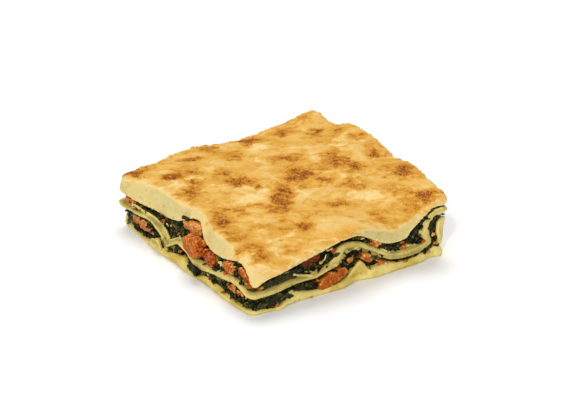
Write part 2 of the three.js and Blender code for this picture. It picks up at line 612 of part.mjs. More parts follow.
// Flips every triangle when a closed mesh has its faces inward.
function outwardFacing(geometry) {
  const position = geometry.getAttribute('position');
  const index = geometry.getIndex();
  const [a, b, c] = [new THREE.Vector3(), new THREE.Vector3(), new THREE.Vector3()];
  let volume = 0;
  for (let i = 0; i < index.count; i += 3) {
    a.fromBufferAttribute(position, index.getX(i));
    b.fromBufferAttribute(position, index.getX(i + 1));
    c.fromBufferAttribute(position, index.getX(i + 2));
    volume += a.dot(b.cross(c));
  }
  if (volume < 0) {
    for (let i = 0; i < index.count; i += 3) {
      const second = index.getX(i + 1);
      index.setX(i + 1, index.getX(i + 2));
      index.setX(i + 2, second);
    }
  }
  return geometry;
}

const wasm = await Module();
wasm.setup();

function toSolid(geometry) {
  const mesh = new wasm.Mesh({
    numProp: 3,
    vertProperties: Float32Array.from(geometry.getAttribute('position').array),
    triVerts: Uint32Array.from(geometry.getIndex().array),
  });
  return new wasm.Manifold(mesh);
}

function toGeometry(solid) {
  const mesh = solid.getMesh();
  const geometry = new THREE.BufferGeometry();
  const values = Float32Array.from(mesh.vertProperties);
  geometry.setAttribute('position', new THREE.Float32BufferAttribute(values, 3));
  geometry.setIndex(Array.from(mesh.triVerts));
  return mergeVertices(geometry, 1e-3);
}

function largest(solid) {
  const pieces = solid.decompose();
  return pieces.reduce((best, piece) => (piece.volume() > best.volume() ? piece : best), pieces[0]);
}

function cutBy(solid, tools) {
  return tools.reduce((rest, tool) => rest.subtract(tool), solid);
}

// Largest piece of a cut solid, without slivers or nearly doubled corners.
function cleaned(solid) {
  const smoother = largest(largest(solid).asOriginal().simplify(CLEAN_EDGE));
  return toGeometry(largest(toSolid(toGeometry(smoother))));
}

function buildPart() {
  const group = new THREE.Group();
  group.name = 'lasagna_portion';
  const show = (name, geometry, material) => {
    const mesh = new THREE.Mesh(geometry, material);
    mesh.name = name;
    mesh.geometry.computeVertexNormals();
    group.add(mesh);
  };
  const fish = SALMON.map((entry, i) => [entry[0], toSolid(salmonGeometry(entry, i, 0))]);
  const fishRoom = SALMON.map((entry, i) => toSolid(salmonGeometry(entry, i, CUT_GAP)));
  const leafRoom = LEAVES.map((entry, i) => toSolid(leafGeometry(entry, i, CUT_GAP)));
  const leaves = LEAVES.map((entry, i) => {
    const leaf = toSolid(leafGeometry(entry, i, 0));
    return [entry[0], cleaned(cutBy(leaf, fishRoom))];
  });
  const layers = OUTLINES.map((outline, index) => toSolid(layerGeometry(index)));
  OUTLINES.forEach((outline, index) => {
    const above = layers[index + 1];
    const cover = above ? SAFE_SHIFTS.map((shift) => above.translate(shift)) : [];
    const solid = cutBy(layers[index], [...cover, ...fishRoom, ...leafRoom]);
    show(outline.name, cleaned(solid), COLORS[outline.material]);
  });
  fish.forEach(([name, solid]) => show(name, toGeometry(solid), COLORS.salmon));
  leaves.forEach(([name, geometry]) => show(name, geometry, COLORS.leaf));
  return group;
}

export default buildPart();
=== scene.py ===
"""Looks of a square cut portion of baked lasagna with spinach and salmon.

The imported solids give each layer, fish piece and leaf its place. Every one of them is
copied, remeshed finely enough to carry relief, shaped, and dressed in its own finish.
Shreds, crumbs and smears are then laid on the four cut sides.
"""

from __future__ import annotations

import json
import logging
import math
from dataclasses import dataclass, field
from enum import Enum

import bpy
import numpy as np
from mathutils import Matrix, Vector

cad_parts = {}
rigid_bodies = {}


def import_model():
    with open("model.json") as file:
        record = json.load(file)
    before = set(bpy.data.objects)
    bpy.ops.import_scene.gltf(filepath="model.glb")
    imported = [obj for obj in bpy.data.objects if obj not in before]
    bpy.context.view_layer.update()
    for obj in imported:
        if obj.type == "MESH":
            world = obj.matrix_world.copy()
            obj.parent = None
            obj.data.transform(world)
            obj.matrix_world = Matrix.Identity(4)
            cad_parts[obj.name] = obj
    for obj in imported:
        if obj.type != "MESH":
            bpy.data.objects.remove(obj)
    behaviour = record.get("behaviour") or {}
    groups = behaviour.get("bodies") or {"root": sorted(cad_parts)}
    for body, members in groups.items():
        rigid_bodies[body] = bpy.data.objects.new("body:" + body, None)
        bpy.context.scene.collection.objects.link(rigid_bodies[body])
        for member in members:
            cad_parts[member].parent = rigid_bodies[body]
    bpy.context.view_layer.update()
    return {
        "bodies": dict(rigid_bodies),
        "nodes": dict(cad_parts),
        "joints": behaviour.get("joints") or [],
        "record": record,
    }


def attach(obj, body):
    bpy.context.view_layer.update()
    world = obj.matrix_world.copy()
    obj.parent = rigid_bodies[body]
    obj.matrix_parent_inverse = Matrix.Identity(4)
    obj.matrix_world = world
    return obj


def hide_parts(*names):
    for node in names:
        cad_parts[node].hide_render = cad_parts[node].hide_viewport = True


LOG = logging.getLogger("lasagna")

MM = 0.001
HALF_X = 55.0
HALF_Y = 56.0

# The view of the photograph: azimuth and elevation in degrees, lengths in millimetres.
VIEW_AZIMUTH = -33.8
VIEW_ELEVATION = 27.0
VIEW_DISTANCE = 1200.0
VIEW_AIM = (4.16, 4.14, 13.0)
VIEW_LENS = 155.3
SENSOR_WIDTH = 36.0

# How finely vertex groups tell weights apart.
WEIGHT_STEPS = 24

Color = tuple[float, float, float]


class Side(Enum):
    """A cut side of the portion: start corner, direction along it and direction out of it."""

    FRONT = ((-HALF_X, -HALF_Y), (1.0, 0.0), (0.0, -1.0))
    RIGHT = ((HALF_X, -HALF_Y), (0.0, 1.0), (1.0, 0.0))
    BACK = ((-HALF_X, HALF_Y), (1.0, 0.0), (0.0, 1.0))
    LEFT = ((-HALF_X, -HALF_Y), (0.0, 1.0), (-1.0, 0.0))

    def point(self, at: float, out: float, height: float) -> Vector:
        """A place on this side, in metres.

        Args:
            at: Distance along the side from its start corner, in millimetres.
            out: Distance out of the nominal side, in millimetres.
            height: Height over the table, in millimetres.

        Returns:
            The place in the frame of the solids.
        """
        start, along, outward = self.value
        x = start[0] + along[0] * at + outward[0] * out
        y = start[1] + along[1] * at + outward[1] * out
        return Vector((x, y, height)) * MM

    def frame(self) -> Matrix:
        """Axes of this side as columns: along it, up, and out of it."""
        _, along, outward = self.value
        return Matrix(((along[0], 0.0, outward[0]), (along[1], 0.0, outward[1]), (0.0, 1.0, 0.0)))


def clear_selection() -> None:
    """Leaves edit mode and deselects every object."""
    if bpy.context.object is not None and bpy.context.object.mode != "OBJECT":
        bpy.ops.object.mode_set(mode="OBJECT")
    bpy.ops.object.select_all(action="DESELECT")


def activate(piece: bpy.types.Object) -> None:
    """Makes one piece the only selected and active object."""
    clear_selection()
    piece.select_set(True)
    bpy.context.view_layer.objects.active = piece


def apply_modifier(piece: bpy.types.Object, kind: str, **settings: object) -> None:
    """Adds one modifier to a piece and applies it at once.

    Args:
        piece: The piece that is shaped.
        kind: The modifier's type name.
        settings: Values for the modifier's properties.
    """
    activate(piece)
    bpy.ops.object.modifier_add(type=kind)
    modifier = piece.modifiers[-1]
    for name, value in settings.items():
        setattr(modifier, name, value)
    bpy.ops.object.modifier_apply(modifier=modifier.name)


def copy_of_node(frame: dict, node: str, ending: str) -> bpy.types.Object:
    """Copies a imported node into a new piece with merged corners.

    Args:
        node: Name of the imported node.
        ending: What the new piece's name adds to the node's.

    Returns:
        The new piece, at the origin.
    """
    piece = bpy.data.objects.new(f"{node}_{ending}", frame["nodes"][node].data.copy())
    bpy.context.scene.collection.objects.link(piece)
    piece.data.name = piece.name
    piece.data.materials.clear()
    activate(piece)
    bpy.ops.object.mode_set(mode="EDIT")
    bpy.ops.mesh.select_all(action="SELECT")
    bpy.ops.mesh.remove_doubles(threshold=1e-6)
    bpy.ops.object.mode_set(mode="OBJECT")
    return piece


def remesh(piece: bpy.types.Object, voxel: float) -> None:
    """Gives a piece even faces of one size in millimetres, fused where it overlaps itself."""
    apply_modifier(piece, "REMESH", mode="VOXEL", voxel_size=voxel * MM, use_smooth_shade=True)


def soften(piece: bpy.types.Object, strength: float, times: int = 1) -> None:
    """Evens a piece out without making it smaller."""
    apply_modifier(
        piece, "LAPLACIANSMOOTH", iterations=times, lambda_factor=strength, use_volume_preserve=True
    )


def coordinates(piece: bpy.types.Object) -> np.ndarray:
    """Corner places of a piece in millimetres, one row each."""
    values = np.empty(len(piece.data.vertices) * 3, np.float32)
    piece.data.vertices.foreach_get("co", values)
    return values.reshape(-1, 3).astype(float) / MM


def normals(piece: bpy.types.Object) -> np.ndarray:
    """Corner normals of a piece, one row each."""
    values = np.empty(len(piece.data.vertices) * 3, np.float32)
    piece.data.vertex_normals.foreach_get("vector", values)
    return values.reshape(-1, 3).astype(float)


def steepness(piece: bpy.types.Object) -> np.ndarray:
    """How upright the surface is at each corner, 0 for level to 1 for a wall."""
    return 1 - np.abs(normals(piece)[:, 2])


def paint(piece: bpy.types.Object, name: str, values: np.ndarray) -> None:
    """Stores one number for each corner, which a finish reads by its name."""
    layer = piece.data.attributes.new(name, "FLOAT", "POINT")
    layer.data.foreach_set("value", values.astype(np.float32))


def weigh(piece: bpy.types.Object, name: str, values: np.ndarray) -> None:
    """Stores a vertex group, rounded to a few steps, that a modifier follows.

    Args:
        piece: The piece that gets the group.
        name: Name of the group, which replaces an earlier one of that name.
        values: One weight from 0 to 1 for each corner.
    """
    if name in piece.vertex_groups:
        piece.vertex_groups.remove(piece.vertex_groups[name])
    group = piece.vertex_groups.new(name=name)
    rounded = np.rint(np.clip(values, 0, 1) * WEIGHT_STEPS).astype(int)
    for step in range(1, WEIGHT_STEPS + 1):
        members = np.nonzero(rounded == step)[0]
        if len(members):
            group.add(members.tolist(), step / WEIGHT_STEPS, "REPLACE")


def roundness(piece: bpy.types.Object, passes: int = 2) -> np.ndarray:
    """How sharply the surface turns at each corner: over 0 on edges, under 0 in hollows.

    Args:
        piece: The piece.
        passes: How often each value is evened out with its neighbours.

    Returns:
        One value for each corner, per millimetre.
    """
    points, facing = coordinates(piece), normals(piece)
    edges = np.empty(len(piece.data.edges) * 2, np.int32)
    piece.data.edges.foreach_get("vertices", edges)
    a, b = edges.reshape(-1, 2).T
    total = len(points)
    step = points[b] - points[a]
    turn = ((facing[b] - facing[a]) * step).sum(1) / np.maximum((step * step).sum(1), 1e-9)
    count = np.bincount(a, minlength=total) + np.bincount(b, minlength=total)
    value = (np.bincount(a, turn, total) + np.bincount(b, turn, total)) / count
    for _ in range(passes):
        near = (np.bincount(a, value[b], total) + np.bincount(b, value[a], total)) / count
        value = 0.5 * (value + near)
    return value


def soft_step(values: np.ndarray, low: float, high: float) -> np.ndarray:
    """Turns values into 0 below low and 1 above high, with a smooth rise between them."""
    t = np.clip((values - low) / (high - low), 0, 1)
    return t * t * (3 - 2 * t)


def lumps(points: np.ndarray, size: float, seed: int) -> np.ndarray:
    """Smooth random values between 0 and 1 over space.

    Args:
        points: Places in millimetres, one row each.
        size: Distance between neighbouring lumps in millimetres.
        seed: Picks one of many patterns.

    Returns:
        One value for each place.
    """
    scaled = points / size + 100.0
    cell = np.floor(scaled).astype(np.int64)
    part = scaled - cell
    part = part * part * (3 - 2 * part)
    total = np.zeros(len(points))
    for corner in range(8):
        offset = np.array([corner & 1, (corner >> 1) & 1, corner >> 2])
        index = cell + offset
        mixed = index[:, 0] * 73856093 ^ index[:, 1] * 19349663 ^ index[:, 2] * 83492791
        mixed = (mixed ^ (seed * 2654435761)) & 0x7FFFFFFF
        mixed = (mixed * 1103515245 + 12345) & 0x7FFFFFFF
        value = ((mixed >> 8) & 0xFFFF) / 65535.0
        share = np.prod(np.where(offset == 1, part, 1 - part), axis=1)
        total += value * share
    return total


def rough_lumps(points: np.ndarray, size: float, octaves: int, seed: int) -> np.ndarray:
    """Sum of smooth random values of ever smaller size, between 0 and 1.

    Args:
        points: Places in millimetres, one row each.
        size: Distance between the largest lumps, in millimetres.
        octaves: Number of sizes, each half of the one before.
        seed: Picks one of many patterns.

    Returns:
        One value for each place.
    """
    total = np.zeros(len(points))
    weight = 0.0
    for octave in range(octaves):
        share = 0.5**octave
        total += share * lumps(points, size * share, seed + 31 * octave)
        weight += share
    return total / weight


def streaks(points: np.ndarray, way: np.ndarray, size: float, stretch: float, seed: int) -> np.ndarray:
    """Uneven noise that is drawn out along one direction, from 0 to 1.

    Args:
        points: Places in millimetres.
        way: The direction, of length one.
        size: Width of the streaks, in millimetres.
        stretch: How many times longer they are than wide.
        seed: Picks the pattern.

    Returns:
        One value for each place.
    """
    along = np.outer(points @ way, way)
    return rough_lumps(points - along * (1 - 1 / stretch), size, 3, seed)


class Pattern(Enum):
    """Solid patterns that a relief can follow."""

    CLOUDS = "CLOUDS"
    CELLS = "VORONOI"
    FOLDS = "MUSGRAVE"


@dataclass(frozen=True)
class Relief:
    """Bumps that are pressed into a piece: pattern, size and height in millimetres, vertex group."""

    pattern: Pattern
    size: float
    height: float
    group: str = ""

    def texture(self, name: str) -> bpy.types.Texture:
        """Builds the solid pattern for one piece."""
        texture = bpy.data.textures.new(name, self.pattern.value)
        texture.noise_scale = self.size * MM
        if self.pattern is Pattern.CLOUDS:
            texture.noise_depth = 3
        elif self.pattern is Pattern.CELLS:
            texture.weight_1 = -1.0
            texture.weight_2 = 1.0
            texture.noise_intensity = 1.0
        else:
            texture.musgrave_type = "RIDGED_MULTIFRACTAL"
            texture.octaves = 2.5
            texture.noise_intensity = 0.5
        return texture

    def press(self, piece: bpy.types.Object) -> None:
        """Moves the piece's surface in and out by this relief."""
        texture = self.texture(f"{piece.name}_{self.pattern.name.lower()}_{self.size}")
        apply_modifier(
            piece,
            "DISPLACE",
            texture=texture,
            texture_coords="LOCAL",
            strength=self.height * MM,
            vertex_group=self.group,
        )
        bpy.data.textures.remove(texture)


def swell(piece: bpy.types.Object, height: float, group: str = "", way: str = "NORMAL") -> None:
    """Moves the surface of a piece out by one height, or in where it is negative.

    Args:
        piece: The piece.
        height: How far it moves, in millimetres.
        group: The vertex group that says where, or nothing for everywhere.
        way: The normals, or the name of the axis that it moves along instead.
    """
    apply_modifier(
        piece, "DISPLACE", strength=height * MM, mid_level=0.0, direction=way, vertex_group=group
    )


@dataclass(frozen=True)
class Pull:
    """Draws what is near one point along a way, most at the point itself, in millimetres."""

    middle: tuple[float, float, float]
    reach: float
    way: tuple[float, float, float]

    def draw(self, piece: bpy.types.Object) -> None:
        """Moves what is near the point."""
        away = np.linalg.norm(coordinates(piece) - np.array(self.middle), axis=1)
        weigh(piece, "pull", np.exp(-((away / self.reach) ** 2)))
        for axis, length in zip("XYZ", self.way):
            if length:
                swell(piece, length, "pull", axis)


# Where the pieces that take the nodes' places are drawn out further.
PULLS = {
    "top_sheet": (
        Pull((57.0, 57.0, 30.0), 6.5, (0.0, 0.0, 2.4)),
        Pull((-53.0, -55.5, 17.0), 3.2, (0.2, -0.6, -1.7)),
        Pull((-57.0, 60.0, 22.0), 7.0, (-1.8, 1.4, 0.4)),
        Pull((-8.0, 60.0, 27.0), 24.0, (0.0, 0.0, 1.0)),
    ),
    "middle_sheet": (Pull((-57.5, 58.0, 15.0), 5.0, (-2.4, 1.8, 0.6)),),
    "base_sheet": (
        Pull((53.5, -57.0, 18.5), 4.5, (-2.0, 0.0, 0.8)),
        Pull((-40.0, -56.5, 1.0), 5.0, (0.0, -2.0, 0.0)),
        Pull((5.5, -57.0, 1.0), 5.5, (0.0, 2.8, 0.0)),
        Pull((48.0, -57.0, 1.0), 4.0, (0.0, 2.0, 0.0)),
        Pull((-58.3, 8.0, 1.0), 8.0, (1.2, 0.0, 0.0)),
        Pull((-58.0, -19.0, 1.0), 13.0, (1.5, 0.0, 0.0)),
    ),
    "salmon_left_large": (
        Pull((-55.5, -16.0, 16.5), 4.5, (0.0, 2.4, -0.4)),
        Pull((-57.0, -8.5, 11.0), 3.4, (0.0, 1.8, -2.6)),
    ),
    "salmon_left_dark": (Pull((-53.5, -19.0, 15.5), 5.0, (-0.4, 2.6, 0.8)),),
    "salmon_left_notch": (
        Pull((-50.2, 4.5, 19.6), 4.2, (-0.6, 4.4, -0.4)),
        Pull((-54.0, -9.0, 20.0), 3.0, (-0.3, -1.8, -1.4)),
    ),
    "salmon_left_corner": (
        Pull((-53.3, -51.2, 15.0), 3.5, (0.0, -1.6, -1.4)),
        Pull((-53.0, -45.5, 18.0), 2.5, (-0.4, 1.0, 0.8)),
    ),
    "salmon_left_low_near": (Pull((-55.0, -42.0, 7.0), 14.0, (0.0, 0.8, 0.9)),),
    "salmon_left_mid": (Pull((-53.0, -36.0, 14.0), 3.0, (0.0, 1.6, 0.8)),),
    "salmon_front_large": (
        Pull((-14.5, -55.5, 4.5), 4.0, (-1.2, -0.4, -2.0)),
        Pull((-13.5, -56.0, 9.5), 2.6, (1.6, 0.0, 0.0)),
    ),
    "leaf_left_tuft": (Pull((-58.0, -10.0, 6.0), 14.0, (0.6, -1.0, 0.5)),),
}


def draw_out(piece: bpy.types.Object, node: str) -> None:
    """Pulls the piece that takes a node's place into its last shape, where the node has pulls."""
    for pull in PULLS.get(node, ()):
        pull.draw(piece)


# A piece may hang this far below the floor, in millimetres, before it is lifted.
FLOOR_SLACK = 0.02


def keep_above_floor(piece: bpy.types.Object) -> None:
    """Lifts the corners that hang below the floor back onto it."""
    below = np.maximum(-coordinates(piece)[:, 2], 0)
    if below.max() > FLOOR_SLACK:
        weigh(piece, "below", below / below.max())
        swell(piece, below.max(), "below", "Z")


def hand_in(
    piece: bpy.types.Object, material: bpy.types.Material, node: str | None = None
) -> bpy.types.Object:
    """Gives a finished piece its material, slot and body.

    Args:
        piece: The finished piece.
        material: Its finish.
        node: The node that it takes the place of, or nothing where it is laid on.

    Returns:
        The same piece.
    """
    keep_above_floor(piece)
    piece.data.materials.append(material)
    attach(piece, "root")
    if node:
        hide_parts(node)
    LOG.info("%s: %d faces", piece.name, len(piece.data.polygons))
    return piece


class NodeBench:
    """Lays out and joins the nodes of one material or node group."""

    def __init__(self, tree: bpy.types.NodeTree) -> None:
        """Starts on an empty tree."""
        self.tree = tree
        self.count = 0

    def add(self, kind: str, **inputs: object) -> bpy.types.Node:
        """Adds a node and fills or joins its inputs by name.

        Args:
            kind: The node's type name.
            inputs: Values or sockets, by input name with spaces as underscores.

        Returns:
            The new node.
        """
        node = self.tree.nodes.new(kind)
        node.location = (200 * (self.count % 8), -240 * (self.count // 8))
        self.count += 1
        self.fill(node, inputs)
        return node

    def fill(self, node: bpy.types.Node, inputs: dict[str, object]) -> None:
        """Fills or joins inputs of a node by name."""
        for name, value in inputs.items():
            self.feed(node.inputs[name.replace("_", " ")], value)

    def feed(self, socket: bpy.types.NodeSocket, value: object) -> None:
        """Joins a socket to another, or sets its own value."""
        if isinstance(value, bpy.types.NodeSocket):
            self.tree.links.new(value, socket)
        elif isinstance(value, tuple) and len(value) == 3 and socket.type == "RGBA":
            socket.default_value = (*value, 1.0)
        else:
            socket.default_value = value

    def attribute(self, name: str) -> bpy.types.NodeSocket:
        """Reads the numbers that a piece stores under a name."""
        node = self.add("ShaderNodeAttribute")
        node.attribute_name = name
        return node.outputs["Fac"]

    def place(self) -> bpy.types.NodeSocket:
        """Reads the object's own coordinates."""
        return self.add("ShaderNodeTexCoord").outputs["Object"]

    def math(
        self, operation: str, first: object, second: object, clamp: bool = False
    ) -> bpy.types.NodeSocket:
        """Adds one calculation with two numbers or sockets.

        Args:
            operation: Its name in Blender.
            first: The first number or socket.
            second: The second number or socket.
            clamp: Whether the result is kept between 0 and 1.

        Returns:
            The result.
        """
        node = self.add("ShaderNodeMath")
        node.operation = operation
        node.use_clamp = clamp
        self.feed(node.inputs[0], first)
        self.feed(node.inputs[1], second)
        return node.outputs[0]

    def blend(self, share: object, first: object, second: object) -> bpy.types.NodeSocket:
        """Mixes two colours.

        Args:
            share: Share of the second colour, 0 to 1.
            first: The first colour or socket.
            second: The second colour or socket.

        Returns:
            The mixed colour.
        """
        node = self.add("ShaderNodeMix")
        node.data_type = "RGBA"
        self.feed(node.inputs["Factor"], share)
        self.feed(node.inputs[6], first)
        self.feed(node.inputs[7], second)
        return node.outputs[2]

    def ramp(self, share: object, stops: list[tuple[float, Color]]) -> bpy.types.NodeSocket:
        """Turns a number into a colour from a row of stops.

        Args:
            share: The number or socket, 0 to 1.
            stops: Place and colour of each stop, in rising order.

        Returns:
            The colour.
        """
        node = self.add("ShaderNodeValToRGB", Fac=share)
        elements = node.color_ramp.elements
        for element, (position, color) in zip((elements[0], elements[-1]), (stops[0], stops[-1])):
            element.position = position
            element.color = (*color, 1.0)
        for position, color in stops[1:-1]:
            elements.new(position).color = (*color, 1.0)
        return node.outputs["Color"]

    def group(self, tree: bpy.types.NodeTree, **inputs: object) -> bpy.types.Node:
        """Places a shared group with its own values.

        Args:
            tree: The group.
            inputs: Values or sockets, by input name with spaces as underscores.

        Returns:
            The new node.
        """
        node = self.add("ShaderNodeGroup")
        node.node_tree = tree
        self.fill(node, inputs)
        return node


class SharedGroups:
    """Node groups that more than one finish uses, each built once."""

    def __init__(self) -> None:
        """Builds every group."""
        self.mottle = self.build_mottle()
        self.relief = self.build_relief()

    @staticmethod
    def open_group(name: str, values: dict[str, float], result: str, kind: str) -> NodeBench:
        """Makes an empty group that reads a place and some numbers.

        Args:
            name: Name of the group.
            values: Name and value of each number that goes in.
            result: Name of what comes out.
            kind: Socket type of what comes out.

        Returns:
            A bench on the new group, with its group input and output nodes added first.
        """
        tree = bpy.data.node_groups.new(name, "ShaderNodeTree")
        tree.interface.new_socket(name="Vector", in_out="INPUT", socket_type="NodeSocketVector")
        for label, value in values.items():
            socket = tree.interface.new_socket(name=label, in_out="INPUT", socket_type="NodeSocketFloat")
            socket.default_value = value
        tree.interface.new_socket(name=result, in_out="OUTPUT", socket_type=kind)
        bench = NodeBench(tree)
        bench.add("NodeGroupInput")
        bench.add("NodeGroupOutput")
        return bench

    def build_mottle(self) -> bpy.types.NodeTree:
        """A patchy mask from two sizes of noise."""
        values = {"Scale": 300.0, "Low": 0.4, "High": 0.6}
        bench = self.open_group("mottle", values, "Mask", "NodeSocketFloat")
        inside, outside = bench.tree.nodes[0], bench.tree.nodes[1]
        noise = bench.add(
            "ShaderNodeTexNoise",
            Vector=inside.outputs["Vector"],
            Scale=inside.outputs["Scale"],
            Detail=5.0,
            Roughness=0.62,
            Distortion=0.6,
        )
        span = bench.add(
            "ShaderNodeMapRange",
            Value=noise.outputs["Fac"],
            From_Min=inside.outputs["Low"],
            From_Max=inside.outputs["High"],
        )
        span.interpolation_type = "SMOOTHSTEP"
        bench.feed(outside.inputs["Mask"], span.outputs["Result"])
        return bench.tree

    def build_relief(self) -> bpy.types.NodeTree:
        """Fine bumps from noise and small cells, as a normal."""
        values = {"Scale": 900.0, "Cells": 0.3, "Strength": 0.4, "Depth": 0.0003}
        bench = self.open_group("fine_relief", values, "Normal", "NodeSocketVector")
        inside, outside = bench.tree.nodes[0], bench.tree.nodes[1]
        place, scale = inside.outputs["Vector"], inside.outputs["Scale"]
        noise = bench.add("ShaderNodeTexNoise", Vector=place, Scale=scale, Detail=6.0, Roughness=0.6)
        cells = bench.add("ShaderNodeTexVoronoi", Vector=place, Scale=scale)
        share = bench.math("MULTIPLY", cells.outputs["Distance"], inside.outputs["Cells"])
        height = bench.math("ADD", noise.outputs["Fac"], share)
        bump = bench.add(
            "ShaderNodeBump",
            Strength=inside.outputs["Strength"],
            Distance=inside.outputs["Depth"],
            Height=height,
        )
        bench.feed(outside.inputs["Normal"], bump.outputs["Normal"])
        return bench.tree


# How far light goes into the food: red, green and blue against each other, and its depth in metres.
SCATTER_COLORS = (1.0, 0.6, 0.25)
SCATTER_DEPTH = 0.0012

# Tints of the wet gloss.
WHITE_GLOSS = (1.0, 1.0, 1.0)
GREEN_GLOSS = (0.85, 0.9, 0.55)
WARM_GLOSS = (1.0, 0.8, 0.55)


@dataclass(frozen=True)
class Finish:
    """Base of every finish: a physically based surface with a little light let in."""

    name: str
    roughness: float
    specular: float
    scatter: float
    gloss: Color = WHITE_GLOSS

    def start(self) -> tuple[bpy.types.Material, NodeBench, bpy.types.Node]:
        """Makes the material with its surface shader.

        Returns:
            The material, a bench on its nodes, and the surface shader.
        """
        material = bpy.data.materials.new(self.name)
        material.use_nodes = True
        material.node_tree.nodes.clear()
        bench = NodeBench(material.node_tree)
        surface = bench.add("ShaderNodeBsdfPrincipled")
        output = bench.add("ShaderNodeOutputMaterial")
        bench.feed(output.inputs["Surface"], surface.outputs["BSDF"])
        values = {
            "Roughness": self.roughness,
            "Specular IOR Level": self.specular,
            "Specular Tint": (*self.gloss, 1.0),
            "Subsurface Weight": self.scatter,
            "Subsurface Radius": SCATTER_COLORS,
            "Subsurface Scale": SCATTER_DEPTH,
        }
        for name, value in values.items():
            surface.inputs[name].default_value = value
        return material, bench, surface


@dataclass(frozen=True)
class SauceCrust(Finish):
    """White sauce, golden and patchily browned on top and pale at the cut, with painted shade on its front
    and lower faces and a painted highlight along its lower edges.
    """

    pale: Color = (0.70, 0.58, 0.25)
    # Olive of the cut sides, for random patches and for painted shade on the front and lower faces.
    shade: Color = (0.53, 0.385, 0.06)
    # Painted highlight colour along the lower convex edges.
    edge: Color = (0.96, 0.85, 0.42)
    cream: Color = (0.84, 0.61, 0.25)
    golden: Color = (0.72, 0.395, 0.068)
    amber: Color = (0.57, 0.24, 0.019)
    brown: Color = (0.35, 0.10, 0.005)
    burnt: Color = (0.22, 0.048, 0.002)
    stain: Color = (0.20, 0.19, 0.04)

    def build(self, groups: SharedGroups) -> bpy.types.Material:
        """Builds the material from the piece's stored baking, paleness, olive with painted shade, painted
        edge highlight and specks.
        """
        material, bench, surface = self.start()
        place = bench.place()
        heat = bench.attribute("baking")
        fine = bench.group(groups.mottle, Vector=place, Scale=1200.0, Low=0.34, High=0.68).outputs["Mask"]
        reach = bench.math("ADD", bench.math("MULTIPLY", heat, heat), 0.03)
        grain = bench.math("MULTIPLY", bench.math("SUBTRACT", fine, 0.5), reach)
        baked = bench.math("ADD", heat, grain, clamp=True)
        crust = bench.ramp(
            baked,
            [
                (0.0, self.cream),
                (0.27, self.golden),
                (0.52, self.amber),
                (0.80, self.brown),
                (1.0, self.burnt),
            ],
        )
        soft = bench.group(groups.mottle, Vector=place, Scale=150.0, Low=0.3, High=0.75).outputs["Mask"]
        # Olive share: random mottling and patches, plus painted shade on the front and lower faces.
        olive = bench.math("ADD", bench.math("MULTIPLY", soft, 0.35), bench.attribute("core"), clamp=True)
        side = bench.blend(olive, self.pale, self.shade)
        body = bench.blend(bench.attribute("pale"), crust, side)
        # Painted highlight along the lower convex edges.
        edge_highlighted = bench.blend(bench.attribute("rim"), body, self.edge)
        color = bench.blend(bench.attribute("speck"), edge_highlighted, self.stain)
        bench.feed(surface.inputs["Base Color"], color)
        bump = bench.group(groups.relief, Vector=place, Scale=900.0, Cells=0.4, Strength=0.5, Depth=0.0005)
        bench.feed(surface.inputs["Normal"], bump.outputs["Normal"])
        return material


@dataclass(frozen=True)
class PastaSheet(Finish):
    """Cooked pasta with a film of white sauce, green stains near the filling, painted shade in hollows and a
    painted highlight along edges.
    """

    pale: Color = (0.74, 0.575, 0.17)
    # Darker olive, for random patches and for painted shade in hollows.
    deep: Color = (0.33, 0.265, 0.05)
    # Painted highlight colour along convex edges.
    edge: Color = (0.88, 0.72, 0.26)
    stain: Color = (0.10, 0.09, 0.015)

    def build(self, groups: SharedGroups) -> bpy.types.Material:
        """Builds the material from the piece's stored olive share with painted shade, painted edge highlight
        and specks.
        """
        material, bench, surface = self.start()
        place = bench.place()
        soft = bench.group(groups.mottle, Vector=place, Scale=220.0, Low=0.3, High=0.7).outputs["Mask"]
        # Olive share: random mottling and patches, plus painted shade in hollows.
        share = bench.math("ADD", bench.math("MULTIPLY", soft, 0.3), bench.attribute("core"), clamp=True)
        body = bench.blend(share, self.pale, self.deep)
        # Painted highlight along convex edges.
        edge_highlighted = bench.blend(bench.attribute("rim"), body, self.edge)
        color = bench.blend(bench.attribute("speck"), edge_highlighted, self.stain)
        bench.feed(surface.inputs["Base Color"], color)
        bump = bench.group(groups.relief, Vector=place, Scale=700.0, Cells=0.2, Strength=0.2, Depth=0.0003)
        bench.feed(surface.inputs["Normal"], bump.outputs["Normal"])
        return material


# A lighter copy of the pasta colours for the base sheet, painted light for the brighter light that falls on
# the base.
BASE_PALE_PAINTED_LIGHT = (0.95, 0.80, 0.30)
BASE_DEEP_PAINTED_LIGHT = (0.58, 0.41, 0.045)


@dataclass(frozen=True)
class SpinachMass(Finish):
    """Wet chopped spinach, near black green with olive and creamy patches, and a painted highlight on crests
    and ribs.
    """

    dark: Color = (0.003, 0.003, 0.001)
    green: Color = (0.030, 0.029, 0.005)
    olive: Color = (0.17, 0.135, 0.018)
    cream: Color = (0.46, 0.35, 0.07)

    def build(self, groups: SharedGroups) -> bpy.types.Material:
        """Builds the material from the piece's stored tone."""
        material, bench, surface = self.start()
        place = bench.place()
        fine = bench.group(groups.mottle, Vector=place, Scale=900.0, Low=0.38, High=0.66).outputs["Mask"]
        shift = bench.math("MULTIPLY", bench.math("SUBTRACT", fine, 0.5), 0.5)
        share = bench.math("ADD", bench.attribute("tone"), shift, clamp=True)
        color = bench.ramp(
            share,
            [(0.0, self.dark), (0.4, self.green), (0.7, self.olive), (0.97, self.cream)],
        )
        bench.feed(surface.inputs["Base Color"], color)
        bump = bench.group(groups.relief, Vector=place, Scale=1100.0, Cells=0.6, Strength=0.9, Depth=0.0006)
        bench.feed(surface.inputs["Normal"], bump.outputs["Normal"])
        return material


